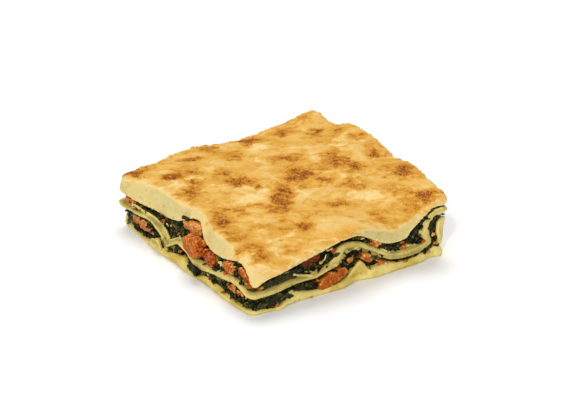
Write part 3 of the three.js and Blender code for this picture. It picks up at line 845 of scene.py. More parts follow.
@dataclass(frozen=True)
class CookedFish(Finish):
    """Cooked salmon: orange flakes with pale fat lines, painted shade in hollows and a painted highlight on
    edges.
    """

    deep: Color = (0.09, 0.010, 0.001)
    red: Color = (0.44, 0.062, 0.003)
    orange: Color = (0.52, 0.142, 0.009)
    peach: Color = (0.70, 0.29, 0.055)
    pink: Color = (0.84, 0.52, 0.2)

    def build(self, groups: SharedGroups) -> bpy.types.Material:
        """Builds the material from the piece's stored tone and fat lines."""
        material, bench, surface = self.start()
        place = bench.place()
        fine = bench.group(groups.mottle, Vector=place, Scale=1100.0, Low=0.34, High=0.66).outputs["Mask"]
        shift = bench.math("MULTIPLY", bench.math("SUBTRACT", fine, 0.5), 0.35)
        share = bench.math("ADD", bench.attribute("tone"), shift, clamp=True)
        color = bench.ramp(
            share,
            [
                (0.0, self.deep),
                (0.3, self.red),
                (0.55, self.orange),
                (0.82, self.peach),
                (1.0, self.pink),
            ],
        )
        bench.feed(surface.inputs["Base Color"], color)
        bump = bench.group(groups.relief, Vector=place, Scale=1200.0, Cells=0.4, Strength=0.5, Depth=0.0004)
        bench.feed(surface.inputs["Normal"], bump.outputs["Normal"])
        return material


@dataclass
class Layer:
    """One layer that runs through the portion: its node, finest face and evening out."""

    node: str
    voxel: float
    smoothing: float

    def shape(self, frame: dict) -> bpy.types.Object:
        """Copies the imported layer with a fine, softened surface.


        Returns:
            The new piece.
        """
        piece = copy_of_node(frame, self.node, "food")
        remesh(piece, self.voxel)
        soften(piece, self.smoothing)
        return piece


def turned(x: np.ndarray, y: np.ndarray) -> tuple[np.ndarray, np.ndarray]:
    """Turns places on the top by the angle that the photograph was taken from.

    Args:
        x: First coordinates.
        y: Second coordinates.

    Returns:
        How far each place lies to the right, and how far back.
    """
    angle = math.radians(VIEW_AZIMUTH)
    return x * math.cos(angle) + y * math.sin(angle), y * math.cos(angle) - x * math.sin(angle)


def from_spot(points: np.ndarray, x: float, y: float) -> np.ndarray:
    """Level distance of each point from one spot, in millimetres."""
    return np.hypot(points[:, 0] - x, points[:, 1] - y)


@dataclass(frozen=True)
class Patch:
    """An oval patch on the top: its middle and half widths in millimetres, and its strength."""

    x: float
    y: float
    across: float
    deep: float
    strength: float

    def cover(self, points: np.ndarray) -> np.ndarray:
        """How much of the patch lies on each point."""
        right, back = turned(points[:, 0] - self.x, points[:, 1] - self.y)
        a, b = right / self.across, back / self.deep
        return self.strength * np.exp(-((a * a + b * b) ** 1.3) * 0.5)


@dataclass(frozen=True)
class Crease:
    """A crease of the top, along a line of points in millimetres."""

    points: tuple[tuple[float, float], ...]
    width: float
    depth: float

    def nearness(self, places: np.ndarray) -> np.ndarray:
        """1 on the crease, falling to 0 a few widths away."""
        best = np.full(len(places), 1e9)
        for (ax, ay), (bx, by) in zip(self.points, self.points[1:]):
            length2 = (bx - ax) ** 2 + (by - ay) ** 2
            t = np.clip(((places[:, 0] - ax) * (bx - ax) + (places[:, 1] - ay) * (by - ay)) / length2, 0, 1)
            away = np.hypot(places[:, 0] - ax - t * (bx - ax), places[:, 1] - ay - t * (by - ay))
            best = np.minimum(best, away)
        return np.exp(-((best / self.width) ** 2))


# Where the crust is browned, and where it stayed creamy.
BROWNED = [
    Patch(-48.9, 57.7, 4.5, 3.5, 0.9), Patch(-6, 56, 3.4, 3, 0.7), Patch(-3.5, 41, 3.6, 2.7, 0.55),
    Patch(14, 51.5, 4, 3.5, 0.8), Patch(32.6, 49, 5, 3, 0.5), Patch(46, 39, 2.7, 3.5, 0.8),
    Patch(54.5, 32, 2.7, 4, 0.55), Patch(59, 22, 3.4, 3.5, 0.55), Patch(35, 8, 5.6, 7.9, 0.6),
    Patch(38, -5.6, 3.8, 6.4, 0.5), Patch(56, 2, 2.5, 4, 0.5), Patch(54.4, -22, 4.5, 4.5, 0.75),
    Patch(13, 4, 5.6, 6.9, 0.9), Patch(21, -6, 3.1, 3, 0.8), Patch(16, 23, 5.6, 3.5, 0.5),
    Patch(-16.4, 29, 3.1, 3, 0.8), Patch(-36, 41, 4.3, 3, 0.75), Patch(-30.5, 27.6, 4, 3.5, 0.5),
    Patch(-14, 15.7, 6.5, 4, 0.8), Patch(-9.8, 7.4, 2, 2.5, 0.8), Patch(-41.6, 20.3, 5.8, 4, 0.6),
    Patch(-8.4, -11.4, 4.3, 10.9, 0.7), Patch(-38.5, -6.6, 3.1, 6.4, 0.55), Patch(-29, -9.7, 2, 3.5, 0.5),
    Patch(-11.7, -35.8, 2.7, 4.4, 0.7), Patch(23.7, -45, 3.6, 4.4, 0.42), Patch(50.3, -48.1, 5.2, 4, 0.7),
    Patch(-45.2, -37, 4.9, 2.5, 0.5), Patch(-41.6, -45, 2.7, 4.4, 0.65), Patch(-30.3, -24.9, 5.4, 3, 0.42),
    Patch(-27.8, -47.3, 3.4, 3, 0.42), Patch(12.5, -28.5, 6.3, 2.5, 0.45), Patch(-20, 52, 5.4, 2.2, 0.5),
    Patch(28.6, -19, 3.8, 5.4, 0.5), Patch(-45, -27.7, 5.2, 2.5, 0.35),
]

CREAMY = [
    Patch(14.8, 41.8, 2.9, 3.5, 0.5), Patch(4.5, 22, 3.4, 4.4, 0.45), Patch(29.7, 17, 3.4, 4, 0.4),
    Patch(-19.7, 1.4, 2.7, 3.5, 0.45), Patch(-12.6, 0.1, 2.7, 5, 0.45), Patch(30, 27.6, 3.4, 2.5, 0.4),
    Patch(29.1, -28.8, 6.7, 2.5, 0.5), Patch(-18.9, 35.6, 4.5, 3, 0.35), Patch(-5.2, -45.5, 6.7, 5, 0.3),
]

# Where the far rim dips: middle and radius in millimetres.
EDGE_BITES = [(61.0, 41.0, 2.6), (61.5, -6.0, 2.6), (63.0, 12.0, 2.0), (20.0, 60.0, 2.5), (-26.0, 60.0, 2.5)]

# Rings left by bubbles that burst: middle and radius in millimetres.
BLISTERS = [(39.5, -3.5, 2.6), (31.0, -39.5, 1.6), (-34.0, -45.0, 1.6), (16.0, -26.0, 2.2)]

# Green specks on the crust: middle and radius in millimetres.
TOP_SPECKS = [(-8.7, 8.4, 0.8), (-37.6, -7.8, 0.7), (31.5, -24.0, 0.9)]

# Creases of the top: their points and width in millimetres, and how deep they are, 0 to 1.
CREASES = [
    Crease(((-5.4, 40), (12.2, 37.8), (31, 39.2)), 1.3, 0.5),
    Crease(((20.9, 2.1), (22.2, -9.8), (21.8, -20)), 1.3, 0.6),
    Crease(((0.4, 30.2), (15.5, 30.5), (24.5, 25.5)), 1.2, 0.4),
    Crease(((38.2, -4.4), (38.8, -15.2), (44.2, -7.6)), 1.2, 0.4),
    Crease(((40.8, -21.9), (50, -24.4)), 1.1, 0.4),
    Crease(((-50, -17.7), (-44, -28.3), (-28.8, -28.5)), 1.2, 0.3),
    Crease(((-2.3, -0.3), (10.6, -5.1)), 1.2, 0.4),
]


@dataclass
class TopSheet(Layer):
    """The thick browned top."""

    def build(self, frame: dict, material: bpy.types.Material) -> bpy.types.Object:
        """Shapes and dresses the top.

        Args:
            material: The crust material.

        Returns:
            The finished piece.
        """
        piece = self.shape(frame)
        rising = normals(piece)[:, 2]
        upper = soft_step(rising, 0.55, 0.9)
        self.roughen(piece, upper)
        draw_out(piece, self.node)
        self.shape_details(piece, upper, rising)
        self.store_looks(piece)
        return hand_in(piece, material, self.node)

    @staticmethod
    def roughen(piece: bpy.types.Object, upper: np.ndarray) -> None:
        """Gives the top and the sides their bumps, folds and creases.

        Args:
            piece: The smooth piece.
            upper: Share of the top side at each corner.
        """
        points = coordinates(piece)
        creased = np.max([crease.nearness(points) * crease.depth for crease in CREASES], axis=0)
        weigh(piece, "upper", upper)
        weigh(piece, "wall", soft_step(steepness(piece), 0.3, 0.8))
        weigh(piece, "crease", creased * upper)
        Relief(Pattern.CLOUDS, 13.0, 1.3, "upper").press(piece)
        Relief(Pattern.CLOUDS, 4.0, 0.8, "upper").press(piece)
        Relief(Pattern.FOLDS, 2.2, 0.35, "upper").press(piece)
        swell(piece, 0.4, "wall")
        Relief(Pattern.CLOUDS, 6.0, 0.7, "wall").press(piece)
        Relief(Pattern.CLOUDS, 2.0, 0.5, "wall").press(piece)
        swell(piece, -0.9, "crease")

    @staticmethod
    def shape_details(piece: bpy.types.Object, upper: np.ndarray, rising: np.ndarray) -> None:
        """Adds the rings of burst bubbles and the dips and crumbs of the far rim.

        Args:
            piece: The piece with its bumps.
            upper: Share of the top side at each corner.
            rising: Upward share of each corner's normal before the bumps.
        """
        points = coordinates(piece)
        rings = [np.exp(-(((from_spot(points, x, y) - radius) / 0.55) ** 2)) for x, y, radius in BLISTERS]
        weigh(piece, "blister", np.max(rings, axis=0) * upper)
        swell(piece, 0.4, "blister")
        bites = [1 - from_spot(points, x, y) / radius for x, y, radius in EDGE_BITES]
        weigh(piece, "bites", np.max(bites, axis=0))
        swell(piece, -1.6, "bites", "Z")
        far = np.maximum(soft_step(points[:, 0], 46.0, 54.0), soft_step(points[:, 1], 47.0, 56.0))
        rim = soft_step(roundness(piece), 0.05, 0.3) * soft_step(rising, -0.2, 0.3)
        weigh(piece, "brink", far * rim)
        Relief(Pattern.CLOUDS, 3.2, 1.9, "brink").press(piece)
        Relief(Pattern.CLOUDS, 1.3, 0.8, "brink").press(piece)

    @staticmethod
    def baking(points: np.ndarray, facing: np.ndarray, turning: np.ndarray) -> np.ndarray:
        """Finds how far the crust is baked, from cream through golden and brown to nearly burnt.

        Args:
            points: The piece's corners, in millimetres.
            facing: Their normals.
            turning: How sharply the surface turns there.

        Returns:
            A value from 0 to 1 for each corner.
        """
        right, back = turned(points[:, 0], points[:, 1])
        flat = np.column_stack([right * 0.6, back, points[:, 2]])
        drawn = flat * np.array([0.7, 1, 1])
        broad = np.column_stack([rough_lumps(points, 5.0, 2, seed) - 0.5 for seed in (1, 2, 3)])
        small = np.column_stack([rough_lumps(points, 1.8, 2, seed) - 0.5 for seed in (4, 5, 6)])
        moved = points + 8.0 * broad + 3.0 * small
        brown = np.max([patch.cover(moved) for patch in BROWNED], axis=0)
        cream = np.max([patch.cover(moved) for patch in CREAMY], axis=0)
        grit = soft_step(rough_lumps(flat, 1.4, 2, 8), 0.25, 0.75)
        island = soft_step(rough_lumps(flat + 2.0 * small, 3.6, 3, 9), 0.34, 0.6)
        spotted = brown * (0.55 + 0.45 * island) * (0.66 + 0.5 * grit)
        sway = rough_lumps(flat, 9.0, 4, 7) - 0.5
        amber = soft_step(rough_lumps(flat + 3.0 * small, 6.5, 4, 15), 0.54, 0.70)
        folds = 1 - np.abs(2 * rough_lumps(drawn, 8.0, 3, 17) - 1)
        where = soft_step(rough_lumps(flat, 14.0, 2, 19), 0.48, 0.62)
        wrinkle = soft_step(folds, 0.93, 0.99) * where
        bright = 1 - np.abs(2 * rough_lumps(drawn, 9.0, 3, 23) - 1)
        streak = soft_step(bright, 0.94, 1.0) * (1 - where)
        dots = soft_step(rough_lumps(points, 1.5, 1, 29), 0.86, 0.93) * amber
        veins = soft_step(rough_lumps(flat + 2.0 * small, 3.2, 3, 37), 0.5, 0.72)
        heat = 0.24 + 0.46 * sway + 0.22 * amber * (0.4 + grit) + 0.16 * wrinkle - 0.22 * streak
        heat += 0.25 * dots + spotted - 0.4 * cream + 0.15 * veins - 0.04
        heat -= 0.3 * soft_step(1 - facing[:, 2], 0.1, 0.4)
        heat -= 0.14 * soft_step(-points[:, 0], 42.0, 50.0) * (1 - brown)
        heat += 0.12 * soft_step(turning, 0.22, 0.6) * (rough_lumps(points, 4.0, 2, 31) - 0.3)
        return np.clip(heat, 0, 1)

    def store_looks(self, piece: bpy.types.Object) -> None:
        """Stores where the crust is browned, pale and specked, its olive share with painted shade, and its
        painted edge highlight.
        """
        points, facing = coordinates(piece), normals(piece)
        paint(piece, "baking", self.baking(points, facing, roundness(piece)))
        sideways = soft_step(1 - facing[:, 2] + 0.2 * (rough_lumps(points, 3.0, 3, 12) - 0.5), 0.16, 0.72)
        paint(piece, "pale", sideways)
        clouded = soft_step(rough_lumps(points, 9.0, 3, 13), 0.45, 0.65)
        # Painted shade: the front-facing side gets more olive, and the share grows from none on upward faces
        # to full on walls and downward faces.
        front = 0.4 * soft_step(-facing[:, 1], 0.2, 0.7)
        paint(piece, "core", (0.55 * clouded + front) * soft_step(-facing[:, 2], -0.5, 0.1))
        # Painted highlight along the lower convex edges.
        below = soft_step(-facing[:, 2], -0.35, 0.15)
        paint(piece, "rim", soft_step(roundness(piece, 1), 0.3, 0.7) * below)
        spots = soft_step(rough_lumps(points, 1.4, 2, 11), 0.79, 0.85) * sideways * 0.7
        for x, y, radius in TOP_SPECKS:
            spots = np.maximum(spots, 1 - soft_step(from_spot(points, x, y), 0.5 * radius, radius))
        paint(piece, "speck", spots)


@dataclass
class Sheet(Layer):
    """A lower pasta sheet: its share of olive, more of it on the left, and how far its foot stands out."""

    shade: float = 0.0
    left_shade: float = 0.0
    foot: float = 0.0

    def build(self, frame: dict, material: bpy.types.Material) -> bpy.types.Object:
        """Shapes and dresses a sheet.

        Args:
            material: The sheets' shared material.

        Returns:
            The finished piece.
        """
        piece = self.shape(frame)
        points, facing = coordinates(piece), normals(piece)
        clear = soft_step(points[:, 2], 0.4, 1.6)
        weigh(piece, "wall", soft_step(steepness(piece), 0.2, 0.7) * clear)
        swell(piece, 0.35, "wall")
        Relief(Pattern.CLOUDS, 7.0, 0.8, "wall").press(piece)
        Relief(Pattern.CLOUDS, 2.0, 0.25, "wall").press(piece)
        if self.foot:
            # The foot of the front stands out, less so towards the left.
            along = soft_step(points[:, 0], -30.0, 0.0)
            low = 1 - soft_step(points[:, 2], 1.0, 4.5)
            front = soft_step(-facing[:, 1], 0.1, 0.5)
            weigh(piece, "foot", low * (0.35 + 0.65 * along) * front)
            swell(piece, self.foot, "foot")
        draw_out(piece, self.node)
        dress_pasta(piece, self.shade + self.left_shade * soft_step(-facing[:, 0], 0.3, 0.8))
        return hand_in(piece, material, self.node)


def dress_pasta(piece: bpy.types.Object, shade: object) -> None:
    """Stores where pasta or sauce is olive or carries painted shade, its painted edge highlight and its
    specks.

    Args:
        piece: The shaped piece.
        shade: Its general share of olive, one number or one for each corner.
    """
    points, facing = coordinates(piece), normals(piece)
    turning = roundness(piece)
    # Painted shade in hollows; faces that look up are a little darker too.
    hollow_shade = soft_step(-turning, 0.02, 0.3)
    flat = soft_step(facing[:, 2], 0.2, 0.8)
    patches = soft_step(rough_lumps(points * np.array([1, 1, 1.6]), 9.0, 3, 5), 0.42, 0.68)
    paint(piece, "core", np.clip(shade + 0.5 * patches + 0.4 * hollow_shade + 0.15 * flat, 0, 1))
    # Painted highlight along convex edges.
    paint(piece, "rim", soft_step(turning, 0.25, 0.7) * 0.6)
    spots = soft_step(rough_lumps(points, 1.5, 2, 21), 0.80, 0.85)
    near = soft_step(rough_lumps(points, 11.0, 2, 22), 0.5, 0.6)
    paint(piece, "speck", spots * (0.25 + 0.75 * near) * 0.8)


def dress_spinach(piece: bpy.types.Object, base: float, patchy: float, ribs: object = 0.0) -> None:
    """Stores where spinach is dark, green, olive or creamy, with a painted highlight on crests and ribs.

    Args:
        piece: The shaped piece.
        base: Its general tone.
        patchy: How strongly creamy patches show.
        ribs: Share of painted highlight along the raised ribs, one number or one for each corner.
    """
    points = coordinates(piece)
    turning = roundness(piece, 1)
    patches = soft_step(rough_lumps(points, 7.0, 3, 41), 0.56, 0.74)
    # Painted highlight: crests are lighter.
    crest_highlight = soft_step(turning, 0.1, 1.2)
    grain = rough_lumps(points, 1.5, 2, 43) - 0.5
    tone = base + patchy * patches + 0.34 * crest_highlight + 0.45 * grain + 0.22 * ribs
    paint(piece, "tone", np.clip(tone, 0, 1))


@dataclass
class Filling(Layer):
    """Chopped spinach in sauce between two sheets."""

    def build(self, frame: dict, material: bpy.types.Material) -> bpy.types.Object:
        """Shapes and dresses a filling.

        Args:
            material: The spinach material.

        Returns:
            The finished piece.
        """
        piece = self.shape(frame)
        weigh(piece, "wall", soft_step(steepness(piece), 0.2, 0.7))
        swell(piece, 0.2)
        Relief(Pattern.CELLS, 2.6, 1.3, "wall").press(piece)
        Relief(Pattern.CLOUDS, 1.5, 1.0, "wall").press(piece)
        dress_spinach(piece, 0.12, 0.6)
        return hand_in(piece, material, self.node)


@dataclass
class FishPiece:
    """A piece of salmon at a cut side: its node, tone, share of roughness and finest face."""

    node: str
    tone: float
    roughly: float = 1.0
    voxel: float = 0.33

    def build(self, frame: dict, material: bpy.types.Material, seed: int) -> bpy.types.Object:
        """Shapes and dresses one piece of fish.

        Args:
            material: The fish material.
            seed: Picks the pattern of its flakes.

        Returns:
            The finished piece.
        """
        piece = copy_of_node(frame, self.node, "fish")
        swell(piece, 0.5)
        remesh(piece, self.voxel)
        draw_out(piece, self.node)
        Relief(Pattern.CLOUDS, 4.0, self.roughly).press(piece)
        cut_flat(piece, Side[self.node.split("_")[1].upper()])
        rise, tint = flakes(coordinates(piece), 60 + seed)
        weigh(piece, "flake", rise)
        swell(piece, 0.7 * self.roughly, "flake")
        Relief(Pattern.CLOUDS, 0.8, 0.4 * self.roughly).press(piece)
        fat = soft_step(rise, 0.78, 0.95) - 0.8 * soft_step(1 - rise, 0.86, 1.0)
        dress_fish(piece, self.tone + 0.3 * (tint - 0.5) * self.roughly, fat * self.roughly, seed)
        return hand_in(piece, material, self.node)


# Share of a piece that its cut face is pressed out of, and how flat that share becomes.
CUT_DEPTH = 0.2
CUT_FLATNESS = 0.85


def cut_flat(piece: bpy.types.Object, side: Side) -> None:
    """Presses what bulges out at a cut side into one nearly flat face.

    Args:
        piece: The piece.
        side: The cut side that it shows at.
    """
    _, _, outward = side.value
    way = np.array([outward[0], outward[1], 0.0])
    out = coordinates(piece) @ way
    depth = CUT_DEPTH * np.ptp(out)
    weigh(piece, "bulge", np.maximum(out - out.max() + depth, 0) / depth)
    for axis, share in zip("XY", outward):
        if share:
            swell(piece, -CUT_FLATNESS * depth * share, "bulge", axis)


# Thickness of a flake of cooked salmon in millimetres.
FLAKE = 1.9


def flakes(points: np.ndarray, seed: int) -> tuple[np.ndarray, np.ndarray]:
    """Divides a piece of salmon into the thin overlapping flakes that it falls into.

    Args:
        points: Its corners, in millimetres.
        seed: Picks how the flakes wave.

    Returns:
        How high each corner lies within its flake, 0 to 1, and its flake's own tint, 0 to 1.
    """
    longest, second = np.linalg.svd(points - points.mean(0), full_matrices=False)[2][:2]
    wave = 2.6 * (rough_lumps(points, 3.2, 3, seed) - 0.5)
    steps = points @ (0.75 * longest + 0.66 * second) / FLAKE + wave
    return steps % 1.0, (np.floor(steps) * 0.618) % 1.0


def dress_fish(piece: bpy.types.Object, tone: object, lines: np.ndarray, seed: int) -> None:
    """Stores how red or pale each place of a fish piece is, with a painted highlight on edges and painted
    shade in hollows.

    Args:
        piece: The shaped piece.
        tone: Its general tone, one number or one for each corner.
        lines: Share of pale fat at each corner.
        seed: Picks the pattern.
    """
    points = coordinates(piece)
    turning = roundness(piece, 1)
    # Painted highlight on edges and painted shade in hollows.
    edge = soft_step(turning, 0.25, 1.0)
    hollow_shade = soft_step(-turning, 0.1, 0.9)
    patches = rough_lumps(points, 3.0, 2, 80 + seed) - 0.5
    grain = rough_lumps(points, 0.9, 2, 180 + seed) - 0.5
    value = tone + 0.22 * patches + 0.4 * grain + 0.36 * edge - 0.35 * hollow_shade + 0.2 * lines
    paint(piece, "tone", np.clip(value, 0, 1))


# Tones of the pieces that stand out from the rest, from deep red 0 to pale 1.
OTHER_FISH_TONE = 0.55
FISH_TONES = {
    "salmon_left_notch": 0.68,
    "salmon_left_large": 0.38,
    "salmon_left_dark": 0.18,
    "salmon_left_mid": 0.56,
    "salmon_left_corner": 0.4,
    "salmon_left_low_near": 0.5,
    "salmon_left_end": 0.5,
    # This piece sits in the shadow under the top's overhang; its very low tone is painted shade.
    "salmon_front_shade": 0.02,
    "salmon_front_large": 0.44,
    "salmon_front_fold": 0.47,
    "salmon_front_flat": 0.54,
}

# Pieces that are cut smoothly, and how rough they are against the others.
SMOOTH_SHARE = 0.45
SMOOTH_FISH = (
    "salmon_front_flat",
    "salmon_front_fold",
    "salmon_front_large",
    "salmon_front_shade",
    "salmon_left_corner",
    "salmon_left_low_far",
    "salmon_left_notch",
)


@dataclass
class LeafPiece:
    """A larger spinach leaf that lies against a cut side."""

    node: str
    voxel: float = 0.3

    def build(self, frame: dict, material: bpy.types.Material) -> bpy.types.Object:
        """Shapes and dresses one leaf.

        Args:
            material: The spinach material.

        Returns:
            The finished piece.
        """
        piece = copy_of_node(frame, self.node, "wet")
        remesh(piece, self.voxel)
        soften(piece, 0.6, times=2)
        swell(piece, -0.35)
        draw_out(piece, self.node)
        Relief(Pattern.CLOUDS, 3.0, 0.9).press(piece)
        points = coordinates(piece)
        longest = np.linalg.svd(points - points.mean(0), full_matrices=False)[2][0]
        ribs = streaks(points, longest, 1.0, 6.0, 77)
        weigh(piece, "rib", soft_step(ribs, 0.4, 0.65))
        swell(piece, 0.6, "rib")
        Relief(Pattern.CLOUDS, 1.0, 0.4).press(piece)
        # Lighter ribs: a painted highlight along the raised ribs.
        dress_spinach(piece, 0.06, 0.12, soft_step(ribs, 0.52, 0.7))
        return hand_in(piece, material, self.node)


@dataclass(frozen=True)
class Master:
    """A small shape that is copied many times: its corners, about one unit long, and its faces."""

    corners: np.ndarray
    faces: list[tuple[int, ...]]

    @staticmethod
    def taken_from(piece: bpy.types.Object) -> Master:
        """Takes the shape of a modelled piece and removes the piece."""
        corners = np.array([corner.co[:] for corner in piece.data.vertices])
        faces = [tuple(face.vertices) for face in piece.data.polygons]
        bpy.data.objects.remove(piece)
        return Master(corners, faces)


def crumple(piece: bpy.types.Object, size: float, strength: float, direction: str = "NORMAL") -> None:
    """Bends a small shape by smooth noise, in its own units."""
    texture = bpy.data.textures.new(f"{piece.name}_crumple", "CLOUDS")
    texture.noise_scale = size
    texture.noise_depth = 1
    apply_modifier(
        piece,
        "DISPLACE",
        texture=texture,
        texture_coords="LOCAL",
        strength=strength,
        direction=direction,
    )
    bpy.data.textures.remove(texture)


def scrap_master(seed: int) -> Master:
    """Models one crinkled scrap of spinach.

    Args:
        seed: Picks its outline and its waves.

    Returns:
        The scrap, one unit long.
    """
    clear_selection()
    bpy.ops.mesh.primitive_grid_add(x_subdivisions=5, y_subdivisions=4, size=1.0, location=(0, 0, 0))
    piece = bpy.context.object
    bpy.ops.object.mode_set(mode="EDIT")
    bpy.ops.transform.resize(value=(1.0, 0.62, 1.0))
    bpy.ops.transform.translate(value=(3.1 * seed, 1.7 * seed, 0.0))
    bpy.ops.transform.vertex_random(offset=0.09, seed=seed)
    bpy.ops.object.mode_set(mode="OBJECT")
    crumple(piece, 0.34, 0.75, "Z")
    apply_modifier(piece, "SOLIDIFY", thickness=0.09, offset=0.0)
    master = Master.taken_from(piece)
    return Master(master.corners - master.corners.mean(0), master.faces)


# Length, width and thickness of a crumb against each other.
CRUMB_SHAPE = (1.0, 0.7, 0.62)


def lump_master(seed: int) -> Master:
    """Models one blunt, flaky crumb.

    Args:
        seed: Picks its dents.

    Returns:
        The crumb, one unit long.
    """
    clear_selection()
    bpy.ops.mesh.primitive_ico_sphere_add(subdivisions=2, radius=0.5, location=(0, 0, 0))
    piece = bpy.context.object
    bpy.ops.object.mode_set(mode="EDIT")
    bpy.ops.transform.resize(value=CRUMB_SHAPE)
    bpy.ops.transform.vertex_random(offset=0.07, seed=seed)
    bpy.ops.object.mode_set(mode="OBJECT")
    crumple(piece, 0.4, 0.3)
    return Master.taken_from(piece)


# A face belongs to a cut side where it lies at most this far inside it (in millimetres), looks out
# by at least this share, and is at least this far from the next side (in millimetres).
WALL_REACH = 10.0
WALL_FACING = 0.3
CORNER_REACH = 3.0


@dataclass
class WallPlaces:
    """Places on the cut sides of a finished piece, for what is laid on them."""

    centres: np.ndarray
    facing: np.ndarray
    areas: np.ndarray

    @staticmethod
    def of(piece: bpy.types.Object) -> WallPlaces:
        """Finds the faces of a piece that look out at a cut side and lie near it.

        Args:
            piece: The piece.

        Returns:
            Centres in millimetres, normals and areas of those faces.
        """
        count = len(piece.data.polygons)
        centres, facing = np.empty(count * 3, np.float32), np.empty(count * 3, np.float32)
        areas = np.empty(count, np.float32)
        piece.data.polygons.foreach_get("center", centres)
        piece.data.polygons.foreach_get("normal", facing)
        piece.data.polygons.foreach_get("area", areas)
        centres = centres.reshape(-1, 3).astype(float) / MM
        facing = facing.reshape(-1, 3).astype(float)
        past = np.column_stack([np.abs(centres[:, 0]) - HALF_X, np.abs(centres[:, 1]) - HALF_Y])
        out = facing[:, :2] * np.sign(centres[:, :2])
        outward = np.where(past[:, 0] > past[:, 1], out[:, 0], out[:, 1])
        shown = (past.max(1) > -WALL_REACH) & (outward > WALL_FACING) & (past.min(1) < -CORNER_REACH)
        return WallPlaces(centres[shown], facing[shown], areas[shown].astype(float))

    def pick(self, count: int, draws: np.random.Generator) -> tuple[np.ndarray, np.ndarray]:
        """Picks places at random, more on larger faces.

        Args:
            count: Number of places.
            draws: The seeded source of random numbers.

        Returns:
            Places in millimetres and the normals there.
        """
        chosen = draws.choice(len(self.areas), size=count, p=self.areas / self.areas.sum())
        return self.centres[chosen], self.facing[chosen]


@dataclass
class Ceiling:
    """The underside of the top, which what is laid on stays under, over a grid of millimetres."""

    CELLS = 160
    MIDDLE = 80
    BEYOND = 3
    OVERLAP = 0.3

    heights: np.ndarray

    @staticmethod
    def of(piece: bpy.types.Object) -> Ceiling:
        """Finds the lowest height of a piece over the grid, also a few cells beyond its edge.

        Args:
            piece: The finished top.

        Returns:
            Its underside.
        """
        points = coordinates(piece)
        heights = np.full((Ceiling.CELLS, Ceiling.CELLS), np.inf)
        rows = np.floor(points[:, :2]).astype(int) + Ceiling.MIDDLE
        np.minimum.at(heights, (rows[:, 0], rows[:, 1]), points[:, 2])
        for _ in range(Ceiling.BEYOND):
            grown = heights.copy()
            for axis in (0, 1):
                for step in (-1, 1):
                    grown = np.minimum(grown, np.roll(heights, step, axis))
            heights = np.where(np.isinf(heights), grown, heights)
        return Ceiling(heights)

    def press(self, corners: np.ndarray) -> None:
        """Pushes corners down that would come through.

        Args:
            corners: Places in millimetres, which are changed.
        """
        rows = np.clip(np.floor(corners[:, :2]).astype(int) + self.MIDDLE, 0, self.CELLS - 1)
        highest = self.heights[rows[:, 0], rows[:, 1]] + self.OVERLAP
        corners[:, 2] = np.minimum(corners[:, 2], highest)


# Nothing in a heap hangs lower than this, in millimetres.
LOWEST = 0.05


@dataclass
class Heap:
    """Many small copies that are joined into one piece."""

    name: str
    corners: list[np.ndarray] = field(default_factory=list)
    faces: list[tuple[int, ...]] = field(default_factory=list)
    tones: list[np.ndarray] = field(default_factory=list)
    total: int = 0

    def put(self, master: Master, place: np.ndarray, axes: np.ndarray, size: np.ndarray, tone: float) -> None:
        """Adds one copy.

        Args:
            master: The shape.
            place: Its middle, in millimetres.
            axes: Its three directions, one in each row.
            size: Its three lengths, in millimetres.
            tone: Its shade from 0 to 1.
        """
        self.corners.append((master.corners * size) @ axes + place)
        self.faces.extend(tuple(index + self.total for index in face) for face in master.faces)
        self.tones.append(np.full(len(master.corners), tone))
        self.total += len(master.corners)

    def model(self) -> bpy.types.Object:
        """Makes the heap one smooth-shaded piece at the origin."""
        points = np.concatenate(self.corners)
        points[:, 2] = np.maximum(points[:, 2], LOWEST)
        mesh = bpy.data.meshes.new(self.name)
        mesh.from_pydata((points * MM).tolist(), [], self.faces)
        piece = bpy.data.objects.new(self.name, mesh)
        bpy.context.scene.collection.objects.link(piece)
        activate(piece)
        bpy.ops.object.shade_smooth()
        return piece

    def tone_of_corners(self) -> np.ndarray:
        """The shade of every corner of the model, in its order."""
        return np.concatenate(self.tones)


def turned_axes(normal: np.ndarray, draws: np.random.Generator, tilt: float) -> np.ndarray:
    """Random directions whose third leans a little away from a normal.

    Args:
        normal: The normal of the place.
        draws: The seeded source of random numbers.
        tilt: Largest lean, as a share of the normal's length.

    Returns:
        Three directions, one in each row.
    """
    third = normal + tilt * draws.uniform(-1, 1, 3)
    third /= np.linalg.norm(third)
    first = np.cross(draws.uniform(-1, 1, 3) * np.array([1, 1, 0.5]), third)
    first /= np.linalg.norm(first)
    return np.array([first, np.cross(third, first), third])


